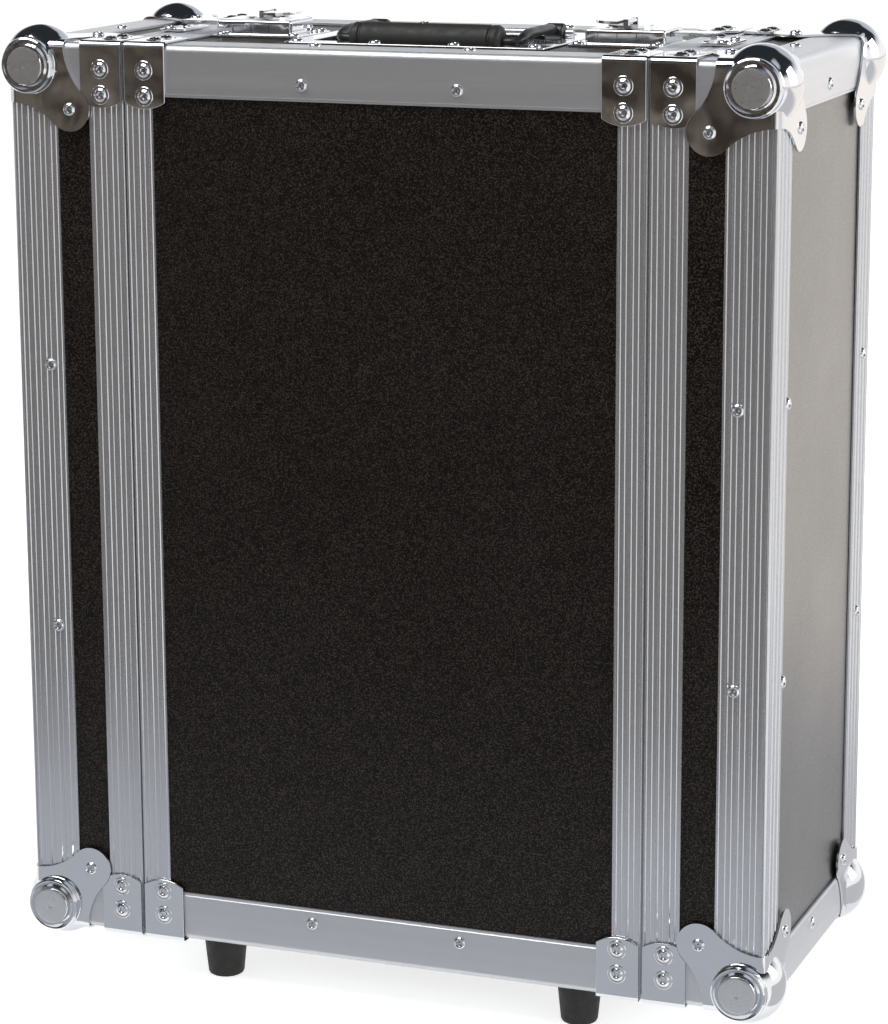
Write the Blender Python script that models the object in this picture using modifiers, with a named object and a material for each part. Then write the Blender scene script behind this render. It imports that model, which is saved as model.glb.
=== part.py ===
"""Effects rack case: a four-unit rack body with a lid on each open end.

The case stands on its rubber feet with the handle up. X runs through the rack from the
front lid to the rear lid, Y is the rack's height and Z its nineteen-inch width.
The origin lies on the floor under the middle of the case.
"""

import math

import bmesh
import bpy
from mathutils import Matrix, Vector

MM = 0.001

# Rack standard
RACK_UNIT = 44.45 * MM
RACK_UNITS = 4
RACK_PANEL_WIDTH = 482.6 * MM
RACK_EAR = 15.9 * MM
RACK_HOLE_INSET = 8.75 * MM
RACK_HOLE_RADIUS = 3.2 * MM
RACK_HOLE_STEPS = (6.35 * MM, 22.225 * MM, 38.1 * MM)

# Clearances
GAP = 0.3 * MM
RUNNING_GAP = 0.5 * MM
SIDE_CLEARANCE = 5.3 * MM
HEIGHT_CLEARANCE = 2.7 * MM

# Boards and extrusions
BOARD = 7.0 * MM
SKIN = 1.6 * MM
RIB = 0.5 * MM
RIB_WIDTH = 1.6 * MM
ANGLE_LEG = 28.2 * MM
ANGLE_RADIUS = 4.0 * MM
EDGE_STEPS = 3
BODY_LENGTH = 300.0 * MM
LID_DEPTH = 69.25 * MM
JOINT_GAP = 1.0 * MM

# Closure extrusions round the joint between the body and a lid
BODY_CLOSURE_LEG = 17.0 * MM
LID_CLOSURE_LEG = 21.4 * MM
CLOSURE_RIBS = 3
CLOSURE_LIP = 1.2 * MM
CLOSURE_LIP_LENGTH = 12.0 * MM
WEB = 1.5 * MM
TONGUE_WIDTH = 2.4 * MM
TONGUE_DEPTH = 2.7 * MM

# Corner braces beside the joint
SHEET = 1.2 * MM
BRACE_WIDTH = 24.4 * MM
BRACE_REACH = 36.5 * MM
BRACE_END_RADIUS = 22.0 * MM
BRACE_FROM_JOINT = 1.1 * MM
BRACE_RIVETS = (14.0 * MM, 28.0 * MM)

# Ball corners
BALL_RADIUS = 21.5 * MM
BALL_INSET = 12.9 * MM
BALL_WALL = 2.5 * MM
LOBE_START = 34.5 * MM
LOBE_NOTCH_RADIUS = 32.0 * MM
LOBE_RIVET = 36.5 * MM

# Rivets
RIVET_RADIUS = 3.6 * MM
RIVET_HEIGHT = 1.4 * MM
RIVET_GRIP = 0.8 * MM
RIVET_SIDES = 6
RIVET_TURN = 15
LID_EDGE_RIVET = 75.0 * MM
BODY_RIVET_FROM_JOINT = 105.5 * MM
EDGE_RIVET_INSET = 19.0 * MM

# Feet
FOOT_HEIGHT = 24.5 * MM
FOOT_TOP_RADIUS = 12.5 * MM
FOOT_BOTTOM_RADIUS = 9.8 * MM
FOOT_ROUNDING = 1.8 * MM
FOOT_FROM_JOINT = 42.0 * MM
FOOT_FROM_EDGE = 20.5 * MM
FOOT_RECESS_RADIUS = 5.0 * MM
FOOT_RECESS_DEPTH = 14.0 * MM
FOOT_SCREW_RADIUS = 4.0 * MM
FOOT_SCREW_HEIGHT = 3.0 * MM

# Handle in its sunk dish
DISH_FROM_LATCH = 2.7 * MM
DISH_Y = 42.0 * MM
DISH_DEPTH = 15.0 * MM
DISH_FLANGE = 12.0 * MM
DISH_RIVET_INSET = 18.0 * MM
GRIP_RADIUS = 9.5 * MM
GRIP_FROM_ARM = 7.0 * MM
GRIP_ROUNDING = 2.5 * MM
GRIP_FROM_PIVOT = 61.0 * MM
BAIL_RADIUS = 2.8 * MM
BAIL_ARM_FROM_DISH = 11.0 * MM
BAIL_ARM_RISE = 4.0 * MM
BAIL_BEND = 8.0 * MM
PIVOT_Y = 33.0 * MM
PIVOT_RISE = 1.0 * MM
AXLE_RADIUS = 2.0 * MM
KNUCKLE_RADIUS = 5.3 * MM
KNUCKLE_LENGTH = 12.0 * MM

# Butterfly latches
LATCH_PLATE_LENGTH = 54.0 * MM
LATCH_PLATE_WIDTH = 48.0 * MM
LATCH_HOUSING_LENGTH = 46.0 * MM
LATCH_HOUSING_WIDTH = 33.0 * MM
LATCH_HOUSING_RISE = 7.6 * MM
LATCH_HUB_RADIUS = 12.5 * MM
LATCH_HUB_HEIGHT = 1.5 * MM
LATCH_HUB_BACK = 25.0 * MM
LATCH_SHAFT_RADIUS = 3.5 * MM
WING_RADIUS = 17.0 * MM
WING_SHEET = 1.5 * MM
WING_KNUCKLE_RADIUS = 1.4 * MM
WING_KNUCKLE_LENGTH = 14.0 * MM
WING_EAR = 2.0 * MM
CLAW_WIDTH = 15.0 * MM
CLAW_THICKNESS = 2.2 * MM
CLAW_LEVEL = 3.9 * MM
CLAW_PAST_JOINT = 8.5 * MM
CLAW_NOSE_LENGTH = 3.5 * MM
CLAW_NOSE_DROP = 1.0 * MM
STRIKE_WIDTH = 34.0 * MM
STRIKE_LENGTH = 17.0 * MM
STRIKE_LIP = 1.5 * MM
STRIKE_RIVET_INSET = 5.0 * MM
LATCH_RIVET_INSET = 5.0 * MM

# Rack rails
RAIL_SHEET = 2.0 * MM
RAIL_LEG = 21.0 * MM
RAIL_RECESS = 22.0 * MM
RAIL_SCREW_RADIUS = 4.0 * MM
RAIL_SCREW_HEIGHT = 2.0 * MM

# Lid lining
FOAM = 10.0 * MM
FOAM_EDGE = 2.0 * MM

# Places worked out from the sizes above; coordinates are measured from the case's middle
INNER_Y = (RACK_UNITS * RACK_UNIT + 2 * HEIGHT_CLEARANCE) / 2
INNER_Z = (RACK_PANEL_WIDTH + 2 * SIDE_CLEARANCE) / 2
BOARD_Y = INNER_Y + BOARD
BOARD_Z = INNER_Z + BOARD
OUTER_Y = BOARD_Y + GAP + SKIN
OUTER_Z = BOARD_Z + GAP + SKIN
JOINT_X = BODY_LENGTH / 2
OUTER_X = JOINT_X + LID_DEPTH
BOARD_X = OUTER_X - SKIN - GAP
END_INNER_X = BOARD_X - BOARD
HALF_JOINT = JOINT_GAP / 2
GROOVE_WIDTH = TONGUE_WIDTH + 4 * GAP
GROOVE_DEPTH = TONGUE_DEPTH + RUNNING_GAP
BODY_WEB = WEB + GROOVE_DEPTH
BODY_BOARD_X = JOINT_X - HALF_JOINT - BODY_WEB - GAP
LID_BOARD_X = JOINT_X + HALF_JOINT + WEB + GAP
CENTRE = Vector((0, 0, FOOT_HEIGHT + OUTER_Z))
RACK_CLEAR_WIDTH = RACK_PANEL_WIDTH - 2 * RACK_EAR
RACK_HOLE_SPREAD = RACK_PANEL_WIDTH - 2 * RACK_HOLE_INSET
BODY_EDGE_RIVET = JOINT_X - BODY_RIVET_FROM_JOINT
FOOT_X = JOINT_X - FOOT_FROM_JOINT
FOOT_Y = OUTER_Y - FOOT_FROM_EDGE
LATCH_PLATE_END_X = JOINT_X - BODY_CLOSURE_LEG - GAP - LATCH_PLATE_LENGTH
DISH_X = LATCH_PLATE_END_X - DISH_FROM_LATCH - DISH_FLANGE
DISH_RIVET_X = DISH_X - DISH_RIVET_INSET
BAIL_ARM_X = DISH_X - BAIL_ARM_FROM_DISH
GRIP_LENGTH = 2 * (BAIL_ARM_X - GRIP_FROM_ARM)

LAMINATE = (0.030, 0.026, 0.024)
ALUMINIUM = (0.72, 0.73, 0.75)
CHROME = (0.78, 0.78, 0.80)
ZINC = (0.55, 0.56, 0.58)
RUBBER = (0.018, 0.018, 0.018)
FOAM_GREY = (0.035, 0.035, 0.038)

END_WORDS = {-1: "front", 1: "rear"}
DEPTH_WORDS = {-1: "near", 1: "far"}
HEIGHT_WORDS = {-1: "bottom", 1: "top"}


def clear_scene():
    for obj in list(bpy.data.objects):
        bpy.data.objects.remove(obj)


def new_collection(name):
    collection = bpy.data.collections.new(name)
    bpy.context.scene.collection.children.link(collection)
    return collection


clear_scene()
PARTS = new_collection("effects_rack_case")
CUTTERS = new_collection("cutters")


def material(name, colour, roughness, metallic):
    mat = bpy.data.materials.new(name)
    mat.use_nodes = True
    shader = mat.node_tree.nodes["Principled BSDF"]
    shader.inputs["Base Color"].default_value = (*colour, 1)
    shader.inputs["Roughness"].default_value = roughness
    shader.inputs["Metallic"].default_value = metallic
    return mat


# Mesh helpers


def mesh_from(bm, name="piece"):
    bmesh.ops.recalc_face_normals(bm, faces=bm.faces)
    if bm.calc_volume(signed=True) < 0:
        bmesh.ops.reverse_faces(bm, faces=bm.faces)
    mesh = bpy.data.meshes.new(name)
    bm.to_mesh(mesh)
    bm.free()
    return mesh


def box(low, high):
    """A box between two opposite corners."""
    low, high = Vector(low), Vector(high)
    bm = bmesh.new()
    bmesh.ops.create_cube(bm, size=1)
    bmesh.ops.scale(bm, vec=high - low, verts=bm.verts)
    bmesh.ops.translate(bm, vec=(low + high) / 2, verts=bm.verts)
    return mesh_from(bm)


def slab(low, high):
    """A box whose corners may come in any order, as after a mirror."""
    pairs = [sorted(pair) for pair in zip(low, high)]
    return box([pair[0] for pair in pairs], [pair[1] for pair in pairs])


def cone(radius_low, radius_high, height, sides):
    """A cone or cylinder that stands on the XY plane."""
    bm = bmesh.new()
    bmesh.ops.create_cone(bm, cap_ends=True, segments=sides, radius1=radius_low,
                          radius2=radius_high, depth=height)
    bmesh.ops.translate(bm, vec=(0, 0, height / 2), verts=bm.verts)
    return mesh_from(bm)


def ball(radius, segments, rings):
    bm = bmesh.new()
    bmesh.ops.create_uvsphere(bm, u_segments=segments, v_segments=rings, radius=radius)
    return mesh_from(bm)


def evaluated_mesh(obj):
    """The object's mesh with its modifiers, in world space; the object is removed."""
    bpy.context.view_layer.update()
    graph = bpy.context.evaluated_depsgraph_get()
    mesh = bpy.data.meshes.new_from_object(obj.evaluated_get(graph))
    mesh.transform(obj.matrix_world)
    bpy.data.objects.remove(obj)
    return mesh


def welded(mesh):
    """The mesh with the seams that a curve or a turned profile leaves closed."""
    bm = bmesh.new()
    bm.from_mesh(mesh)
    bmesh.ops.remove_doubles(bm, verts=bm.verts, dist=0.000001)
    return mesh_from(bm)


def outline(points, thickness):
    """A flat outline in the XY plane, half of its thickness to each side."""
    curve = bpy.data.curves.new("outline", "CURVE")
    curve.dimensions = "2D"
    curve.fill_mode = "BOTH"
    curve.extrude = thickness / 2
    spline = curve.splines.new("POLY")
    spline.points.add(len(points) - 1)
    for point, (x, y) in zip(spline.points, points):
        point.co = (x, y, 0, 1)
    spline.use_cyclic_u = True
    obj = bpy.data.objects.new("outline", curve)
    CUTTERS.objects.link(obj)
    return welded(evaluated_mesh(obj))


def tube(points, radius, resolution=2):
    """A round rod along the points, with closed ends."""
    curve = bpy.data.curves.new("tube", "CURVE")
    curve.dimensions = "3D"
    curve.bevel_depth = radius
    curve.bevel_resolution = resolution
    curve.use_fill_caps = True
    spline = curve.splines.new("POLY")
    spline.points.add(len(points) - 1)
    for point, place in zip(spline.points, points):
        point.co = (*place, 1)
    obj = bpy.data.objects.new("tube", curve)
    CUTTERS.objects.link(obj)
    return welded(evaluated_mesh(obj))


def turned(profile, steps, closed=False):
    """A profile of (radius, height) points turned round Z, from top to bottom outside."""
    bm = bmesh.new()
    verts = [bm.verts.new((radius, 0, height)) for radius, height in profile]
    for first, second in zip(verts, verts[1:]):
        bm.edges.new((first, second))
    if closed:
        bm.edges.new((verts[-1], verts[0]))
    mesh = bpy.data.meshes.new("profile")
    bm.to_mesh(mesh)
    bm.free()
    obj = bpy.data.objects.new("profile", mesh)
    CUTTERS.objects.link(obj)
    screw = obj.modifiers.new("Screw", "SCREW")
    screw.steps = steps
    screw.render_steps = steps
    screw.use_merge_vertices = True
    screw.merge_threshold = 0.00001
    return welded(evaluated_mesh(obj))


def combined(mesh, others, operation, solver="EXACT"):
    """A Boolean of the mesh with each of the others."""
    obj = bpy.data.objects.new("boolean", mesh)
    PARTS.objects.link(obj)
    cutters = []
    for other in others:
        cutter = bpy.data.objects.new("cutter", other)
        cutter.hide_render = True
        cutter.display_type = "WIRE"
        CUTTERS.objects.link(cutter)
        cutters.append(cutter)
        modifier = obj.modifiers.new("Boolean", "BOOLEAN")
        modifier.operation = operation
        modifier.solver = solver
        modifier.object = cutter
    result = evaluated_mesh(obj)
    for cutter in cutters:
        bpy.data.objects.remove(cutter)
    return result


def moved(mesh, *matrices):
    """A copy of the mesh; the last matrix is applied first, and a mirror keeps faces out."""
    matrix = Matrix.Identity(4)
    for step in matrices:
        matrix = matrix @ step
    copy = mesh.copy()
    copy.transform(matrix)
    if matrix.determinant() < 0:
        copy.flip_normals()
    return copy


def shift(x=0, y=0, z=0):
    return Matrix.Translation((x, y, z))


def mirror(x=1, y=1, z=1):
    return Matrix.Diagonal((x, y, z, 1))


def turn(degrees, axis):
    """A rotation, rounded so that a quarter turn keeps flat faces exactly flat."""
    rotation = Matrix.Rotation(math.radians(degrees), 4, axis)
    return Matrix([[round(value, 6) for value in row] for row in rotation])


def joined(meshes, solver="EXACT"):
    """One body from meshes that overlap."""
    return combined(meshes[0], meshes[1:], "UNION", solver)


def node(name, mesh, mat, pivot=None, parent=None):
    """One named object from a solid that is given in coordinates from the case's middle."""
    origin = Vector(pivot) if pivot else Vector((0, 0, 0))
    mesh.name = name
    mesh.transform(Matrix.Translation(-origin))
    obj = bpy.data.objects.new(name, mesh)
    PARTS.objects.link(obj)
    if parent:
        obj.parent = parent
        obj.matrix_parent_inverse = parent.matrix_world.inverted()
    obj.matrix_world = Matrix.Translation(CENTRE + origin)
    mesh.materials.clear()
    mesh.materials.append(mat)
    mesh.shade_smooth()
    mesh.set_sharp_from_angle(angle=math.radians(30))
    bpy.context.view_layer.update()
    return obj


def arc(centre, radius, start, end, count):
    """Points along an arc, both ends included; angles in degrees."""
    points = []
    for index in range(count + 1):
        angle = math.radians(start + (end - start) * index / count)
        points.append((centre[0] + radius * math.cos(angle), centre[1] + radius * math.sin(angle)))
    return points


def signs(count):
    """Every combination of minus and plus one."""
    if count == 0:
        return [()]
    return [(sign, *rest) for sign in (-1, 1) for rest in signs(count - 1)]


# Extrusion profiles, drawn as (along the face, out of the face)


def ribbed_edge(start, end, level, ribs):
    """The outer line of a leg from start to end, with raised ribs that end at the level."""
    width = end - start
    pitch = width / ribs
    direction = 1 if width > 0 else -1
    half = direction * RIB_WIDTH / 2
    taper = direction * RIB / 2
    points = []
    for index in range(ribs):
        middle = start + pitch * (index + 0.5)
        points += [
            (middle - half - taper, level - RIB),
            (middle - half, level),
            (middle + half, level),
            (middle + half + taper, level - RIB),
        ]
    return points


def angle_profile(corner_a, corner_b):
    """An L round the corner (a, b), its legs pointing back along both axes."""
    low_a = corner_a - ANGLE_LEG
    low_b = corner_b - ANGLE_LEG
    inner_a = corner_a - SKIN
    inner_b = corner_b - SKIN
    centre = (corner_a - ANGLE_RADIUS, corner_b - ANGLE_RADIUS)
    points = [(low_a, inner_b), (low_a, corner_b)]
    points += arc(centre, ANGLE_RADIUS, 90, 0, EDGE_STEPS)
    points += [(corner_a, low_b), (inner_a, low_b), (inner_a, inner_b)]
    return points


def closure_profile(leg, groove):
    """A closure section: x runs from the joint into the part, y out from the board's inner face."""
    top = BOARD + GAP + SKIN
    lip = -GAP - CLOSURE_LIP
    middle = BOARD / 2
    web = BODY_WEB if groove else WEB
    front = HALF_JOINT
    points = [(front, top - RIB)]
    points += ribbed_edge(front + GAP, leg, top, CLOSURE_RIBS)
    points += [
        (leg, top - RIB),
        (leg, top - SKIN),
        (front + web, top - SKIN),
        (front + web, -GAP),
        (front + CLOSURE_LIP_LENGTH, -GAP),
        (front + CLOSURE_LIP_LENGTH, lip),
        (front, lip),
    ]
    if groove:
        half = GROOVE_WIDTH / 2
        deep = front + GROOVE_DEPTH
        points += [(front, middle - half), (deep, middle - half), (deep, middle + half), (front, middle + half)]
    else:
        half = TONGUE_WIDTH / 2
        tip = front - TONGUE_DEPTH
        root = half + GAP
        points += [(front, middle - root), (tip, middle - half), (tip, middle + half), (front, middle + root)]
    return points


def mitred_ring(profile, joint, into):
    """The profile swept round the case's rim, with square mitred corners."""
    bm = bmesh.new()
    corners = [(1, 1), (-1, 1), (-1, -1), (1, -1)]
    loops = []
    for side_y, side_z in corners:
        loop = []
        for along, out in profile:
            place = (joint + into * along, side_y * (INNER_Y + out), side_z * (INNER_Z + out))
            loop.append(bm.verts.new(place))
        loops.append(loop)
    count = len(profile)
    for index, loop in enumerate(loops):
        following = loops[(index + 1) % len(loops)]
        for point in range(count):
            after = (point + 1) % count
            bm.faces.new((loop[point], loop[after], following[after], following[point]))
    return mesh_from(bm)


# An outline drawn in (first, second) coordinates is laid in one of these planes
XY_TO_XZ = turn(90, "X")
XY_TO_YZ = Matrix(((0, 0, 1, 0), (1, 0, 0, 0), (0, 1, 0, 0), (0, 0, 0, 1)))
SWAP_Y_Z = Matrix(((1, 0, 0, 0), (0, 0, 1, 0), (0, 1, 0, 0), (0, 0, 0, 1)))
SWAP_X_Z = Matrix(((0, 0, 1, 0), (0, 1, 0, 0), (1, 0, 0, 0), (0, 0, 0, 1)))


# Body boards and frames


def body_boards(laminate):
    length = BODY_BOARD_X
    inner = INNER_Y - GAP
    for name, side in (("body_front_panel", -1), ("body_back_panel", 1)):
        wall = slab((-length, side * INNER_Y, -BOARD_Z), (length, side * BOARD_Y, BOARD_Z))
        node(name, wall, laminate)
    bottom = box((-length, -inner, -BOARD_Z), (length, inner, -INNER_Z))
    node("body_bottom_panel", bottom, laminate)
    top = box((-length, -inner, INNER_Z), (length, inner, BOARD_Z))
    hole_x = DISH_X + SHEET + GAP
    hole_y = DISH_Y + SHEET + GAP
    hole = box((-hole_x, -hole_y, INNER_Z - BOARD), (hole_x, hole_y, BOARD_Z + BOARD))
    node("body_top_panel", combined(top, [hole], "DIFFERENCE"), laminate)


def body_edge_angles(meshes, mats):
    """A smooth angle along each of the body's four edges, with its rivets."""
    length = 2 * (JOINT_X - BODY_CLOSURE_LEG - GAP)
    section = outline(angle_profile(OUTER_Y, OUTER_Z), length)
    for side_y, side_z in signs(2):
        pieces = [moved(section, mirror(1, side_y, side_z), XY_TO_YZ)]
        for side_x in (-1, 1):
            x = side_x * BODY_EDGE_RIVET
            on_wall = (x, side_y * OUTER_Y, side_z * (OUTER_Z - EDGE_RIVET_INSET))
            on_top = (x, side_y * (OUTER_Y - EDGE_RIVET_INSET), side_z * OUTER_Z)
            pieces.append(rivet_on(meshes["rivet"], on_wall, "Y", side_y))
            pieces.append(rivet_on(meshes["rivet"], on_top, "Z", side_z))
        name = "body_edge_angle_%s_%s" % (DEPTH_WORDS[side_y], HEIGHT_WORDS[side_z])
        node(name, joined(pieces), mats["aluminium"])


def closure_frame(name, side, into, leg, groove, brace, mats):
    """Closure extrusions round one rim, with their riveted corner braces.

    side is the joint's side of the case and into the way from the joint into the part.
    """
    joint = side * JOINT_X
    ring = mitred_ring(closure_profile(leg, groove), joint, into)
    middle = joint + into * (BRACE_FROM_JOINT + BRACE_WIDTH / 2)
    riveted = [moved(brace, shift(middle), mirror(into, y, z)) for y, z in signs(2)]
    node(name, joined([ring] + riveted, "MANIFOLD"), mats["aluminium"])


def brace_mesh():
    """A bent brace round the edge at (OUTER_Y, OUTER_Z), centred on X = 0, with round ends."""
    inner_y = OUTER_Y + GAP
    inner_z = OUTER_Z + GAP
    outer_y = inner_y + SHEET
    outer_z = inner_z + SHEET
    low_y = outer_y - BRACE_REACH
    low_z = outer_z - BRACE_REACH
    bend = GAP + SHEET
    profile = [(low_y, inner_z), (low_y, outer_z)]
    profile += arc((outer_y - bend, outer_z - bend), bend, 90, 0, 2)
    profile += [(outer_y, low_z), (inner_y, low_z), (inner_y, inner_z)]
    strip = moved(outline(profile, BRACE_WIDTH), XY_TO_YZ)
    half = BRACE_WIDTH / 2
    sagitta = BRACE_END_RADIUS - math.sqrt(BRACE_END_RADIUS ** 2 - half ** 2)
    swing = math.degrees(math.asin(half / BRACE_END_RADIUS))
    wide = half + SHEET
    tall = BRACE_REACH + SHEET
    end = arc((0, BRACE_END_RADIUS), BRACE_END_RADIUS, -90 - swing, -90 + swing, 4)
    shape = [(-wide, tall), (-wide, sagitta)] + end + [(wide, sagitta), (wide, tall)]
    depth = 4 * BRACE_REACH
    down = moved(outline(shape, depth), shift(0, outer_y, low_z), XY_TO_XZ)
    inward = moved(outline(shape, depth), shift(0, low_y, outer_z))
    return combined(strip, [down, inward], "INTERSECT")


# Rivets


def rivet_mesh(depth):
    """A rivet head that stands on Z = 0 and reaches some depth below it.

    It is turned a little, so that none of its corners lies on the edge of a rib.
    """
    head = turned([
        (0, RIVET_HEIGHT),
        (RIVET_RADIUS * 0.72, RIVET_HEIGHT),
        (RIVET_RADIUS, 0),
        (RIVET_RADIUS, -depth),
        (0, -depth),
    ], RIVET_SIDES)
    return moved(head, turn(RIVET_TURN, "Z"))


def rivet_on(mesh, place, axis, side):
    """A rivet on a face; place is on the face and axis is the face's direction."""
    turns = {"X": turn(90, "Y"), "Y": turn(-90, "X"), "Z": Matrix.Identity(4)}
    seat = {"X": mirror(side, 1, 1), "Y": mirror(1, side, 1), "Z": mirror(1, 1, side)}
    return moved(mesh, shift(*place), seat[axis], turns[axis])


def riveted_brace_mesh():
    """A brace with its four rivets, long enough to reach into the extrusion behind it."""
    rivet = rivet_mesh(GAP + SHEET + RIVET_GRIP)
    rivets = []
    for inset in BRACE_RIVETS:
        on_wall = (0, OUTER_Y + GAP + SHEET, OUTER_Z - inset)
        on_top = (0, OUTER_Y - inset, OUTER_Z + GAP + SHEET)
        rivets.append(rivet_on(rivet, on_wall, "Y", 1))
        rivets.append(rivet_on(rivet, on_top, "Z", 1))
    return joined([brace_mesh()] + rivets)


def notched_brace_mesh(brace):
    """A lid's brace, cut clear of the ball corner's lobe on each of its two faces."""
    cutter = moved(outline(lobe_outline(RUNNING_GAP), 4 * (GAP + SHEET)), mirror(-1, -1, 1))
    corner = shift(LID_DEPTH - BRACE_FROM_JOINT - BRACE_WIDTH / 2, OUTER_Y, OUTER_Z)
    return combined(brace, [moved(cutter, corner), moved(cutter, corner, SWAP_Y_Z)], "DIFFERENCE")


def lid_edge_rivets(mesh, side):
    rivets = []
    edge_x = side * (OUTER_X - EDGE_RIVET_INSET)
    for (side_y, side_z) in signs(2):
        along = side_z * LID_EDGE_RIVET
        edge_y = side_y * (OUTER_Y - EDGE_RIVET_INSET)
        rivets.append(rivet_on(mesh, (edge_x, side_y * OUTER_Y, along), "Y", side_y))
        rivets.append(rivet_on(mesh, (side * OUTER_X, edge_y, along), "X", side))
    for side_z in (-1, 1):
        end_z = side_z * (OUTER_Z - EDGE_RIVET_INSET)
        rivets.append(rivet_on(mesh, (side * OUTER_X, 0, end_z), "X", side))
        rivets.append(rivet_on(mesh, (edge_x, 0, side_z * OUTER_Z), "Z", side_z))
    return rivets


# Lids


def lid_boards(name, side, laminate):
    end = slab((side * END_INNER_X, -BOARD_Y, -BOARD_Z), (side * BOARD_X, BOARD_Y, BOARD_Z))
    node(name + "_end_panel", end, laminate)
    near = LID_BOARD_X
    far = END_INNER_X - GAP
    ring = combined(
        box((near, -BOARD_Y, -BOARD_Z), (far, BOARD_Y, BOARD_Z)),
        [box((near - BOARD, -INNER_Y, -INNER_Z), (far + BOARD, INNER_Y, INNER_Z))],
        "DIFFERENCE",
    )
    node(name + "_side_panels", moved(ring, mirror(side, 1, 1)), laminate)


def rounded_box(low, high, radius):
    obj = bpy.data.objects.new("rounded", box(low, high))
    CUTTERS.objects.link(obj)
    bevel = obj.modifiers.new("Bevel", "BEVEL")
    bevel.width = radius
    bevel.segments = EDGE_STEPS
    return evaluated_mesh(obj)


def lid_edge_frame(name, side, meshes, mats):
    """Angles round all the lid's edges behind the closure, joined at the corners."""
    near = JOINT_X + LID_CLOSURE_LEG + GAP
    beyond = BOARD_X + GAP
    past = OUTER_X + ANGLE_LEG
    skin = rounded_box((near - ANGLE_LEG, -OUTER_Y, -OUTER_Z), (OUTER_X, OUTER_Y, OUTER_Z), ANGLE_RADIUS)
    window_x = OUTER_X - ANGLE_LEG
    window_y = OUTER_Y - ANGLE_LEG
    window_z = OUTER_Z - ANGLE_LEG
    low = near - 2 * ANGLE_LEG
    hollow_y = BOARD_Y + GAP
    hollow_z = BOARD_Z + GAP
    cutters = [
        box((low, -hollow_y, -hollow_z), (beyond, hollow_y, hollow_z)),
        box((low, -past, -past - OUTER_Z), (near, past, past + OUTER_Z)),
        box((low, -past, -window_z), (window_x, past, window_z)),
        box((low, -window_y, -past - OUTER_Z), (window_x, window_y, past + OUTER_Z)),
        box((window_x, -window_y, -window_z), (past, window_y, window_z)),
    ]
    frame = moved(combined(skin, cutters, "DIFFERENCE"), mirror(side, 1, 1))
    node(name + "_edge_frame", joined([frame] + lid_edge_rivets(meshes["rivet"], side)), mats["aluminium"])


def lobe_outline(clearance=0):
    """The sheet on one face of a ball corner, drawn inwards from the corner at (0, 0).

    Its round tip sits on the lobe's rivet and runs smoothly into the notch on each side.
    """
    notch = (LOBE_START + LOBE_NOTCH_RADIUS, 0)
    tip_radius = math.hypot(notch[0] - LOBE_RIVET, LOBE_RIVET) - LOBE_NOTCH_RADIUS
    bearing = math.degrees(math.atan2(LOBE_RIVET, LOBE_RIVET - notch[0]))
    first = arc(notch, LOBE_NOTCH_RADIUS - clearance, 180, bearing, 3)
    tip = arc((LOBE_RIVET, LOBE_RIVET), tip_radius + clearance, bearing - 180, 270 - bearing, 6)
    wrap = GAP + SHEET
    half = [(-wrap, -wrap), (LOBE_START + clearance, -wrap)] + first
    other = [(y, x) for x, y in reversed(half[1:])]
    return half + tip[1:-1] + other


def ball_corner_mesh(rivet):
    """A ball corner in its own corner's frame: outer faces at zero, the case towards minus."""
    face = GAP + SHEET
    depth = SHEET + 2 * GAP
    reach = LOBE_START + LOBE_NOTCH_RADIUS
    plate = moved(outline(lobe_outline(), depth), mirror(-1, -1, 1), shift(0, 0, face - depth / 2))
    on_y = moved(plate, SWAP_Y_Z)
    on_x = moved(plate, SWAP_X_Z)
    rounded = rounded_box((-reach, -reach, -reach), (face, face, face), ANGLE_RADIUS + face)
    sheet = combined(joined([plate, on_y, on_x]), [rounded], "INTERSECT")
    centre = shift(-BALL_INSET, -BALL_INSET, -BALL_INSET)
    skin = joined([sheet, moved(ball(BALL_RADIUS, 16, 8), centre)])
    inside = moved(ball(BALL_RADIUS - BALL_WALL, 8, 6), centre)
    corner = rounded_box((-2 * reach, -2 * reach, -2 * reach), (GAP, GAP, GAP), ANGLE_RADIUS + GAP)
    shell = combined(skin, [inside, corner], "DIFFERENCE")
    spots = [
        ((-LOBE_RIVET, -LOBE_RIVET, face), "Z"),
        ((-LOBE_RIVET, face, -LOBE_RIVET), "Y"),
        ((face, -LOBE_RIVET, -LOBE_RIVET), "X"),
    ]
    return joined([shell] + [rivet_on(rivet, spot, axis, 1) for spot, axis in spots])


def ball_corners(name, side, mesh, chrome):
    for (side_y, side_z) in signs(2):
        label = "%s_corner_%s_%s" % (name, DEPTH_WORDS[side_y], HEIGHT_WORDS[side_z])
        place = shift(side * OUTER_X, side_y * OUTER_Y, side_z * OUTER_Z)
        node(label, moved(mesh, place, mirror(side, side_y, side_z)), chrome)


def lid_foam(name, side, foam):
    near = side * (END_INNER_X - GAP - FOAM)
    far = side * (END_INNER_X - GAP)
    half_y = INNER_Y - FOAM_EDGE
    half_z = INNER_Z - FOAM_EDGE
    node(name + "_foam", slab((near, -half_y, -half_z), (far, half_y, half_z)), foam)


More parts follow.
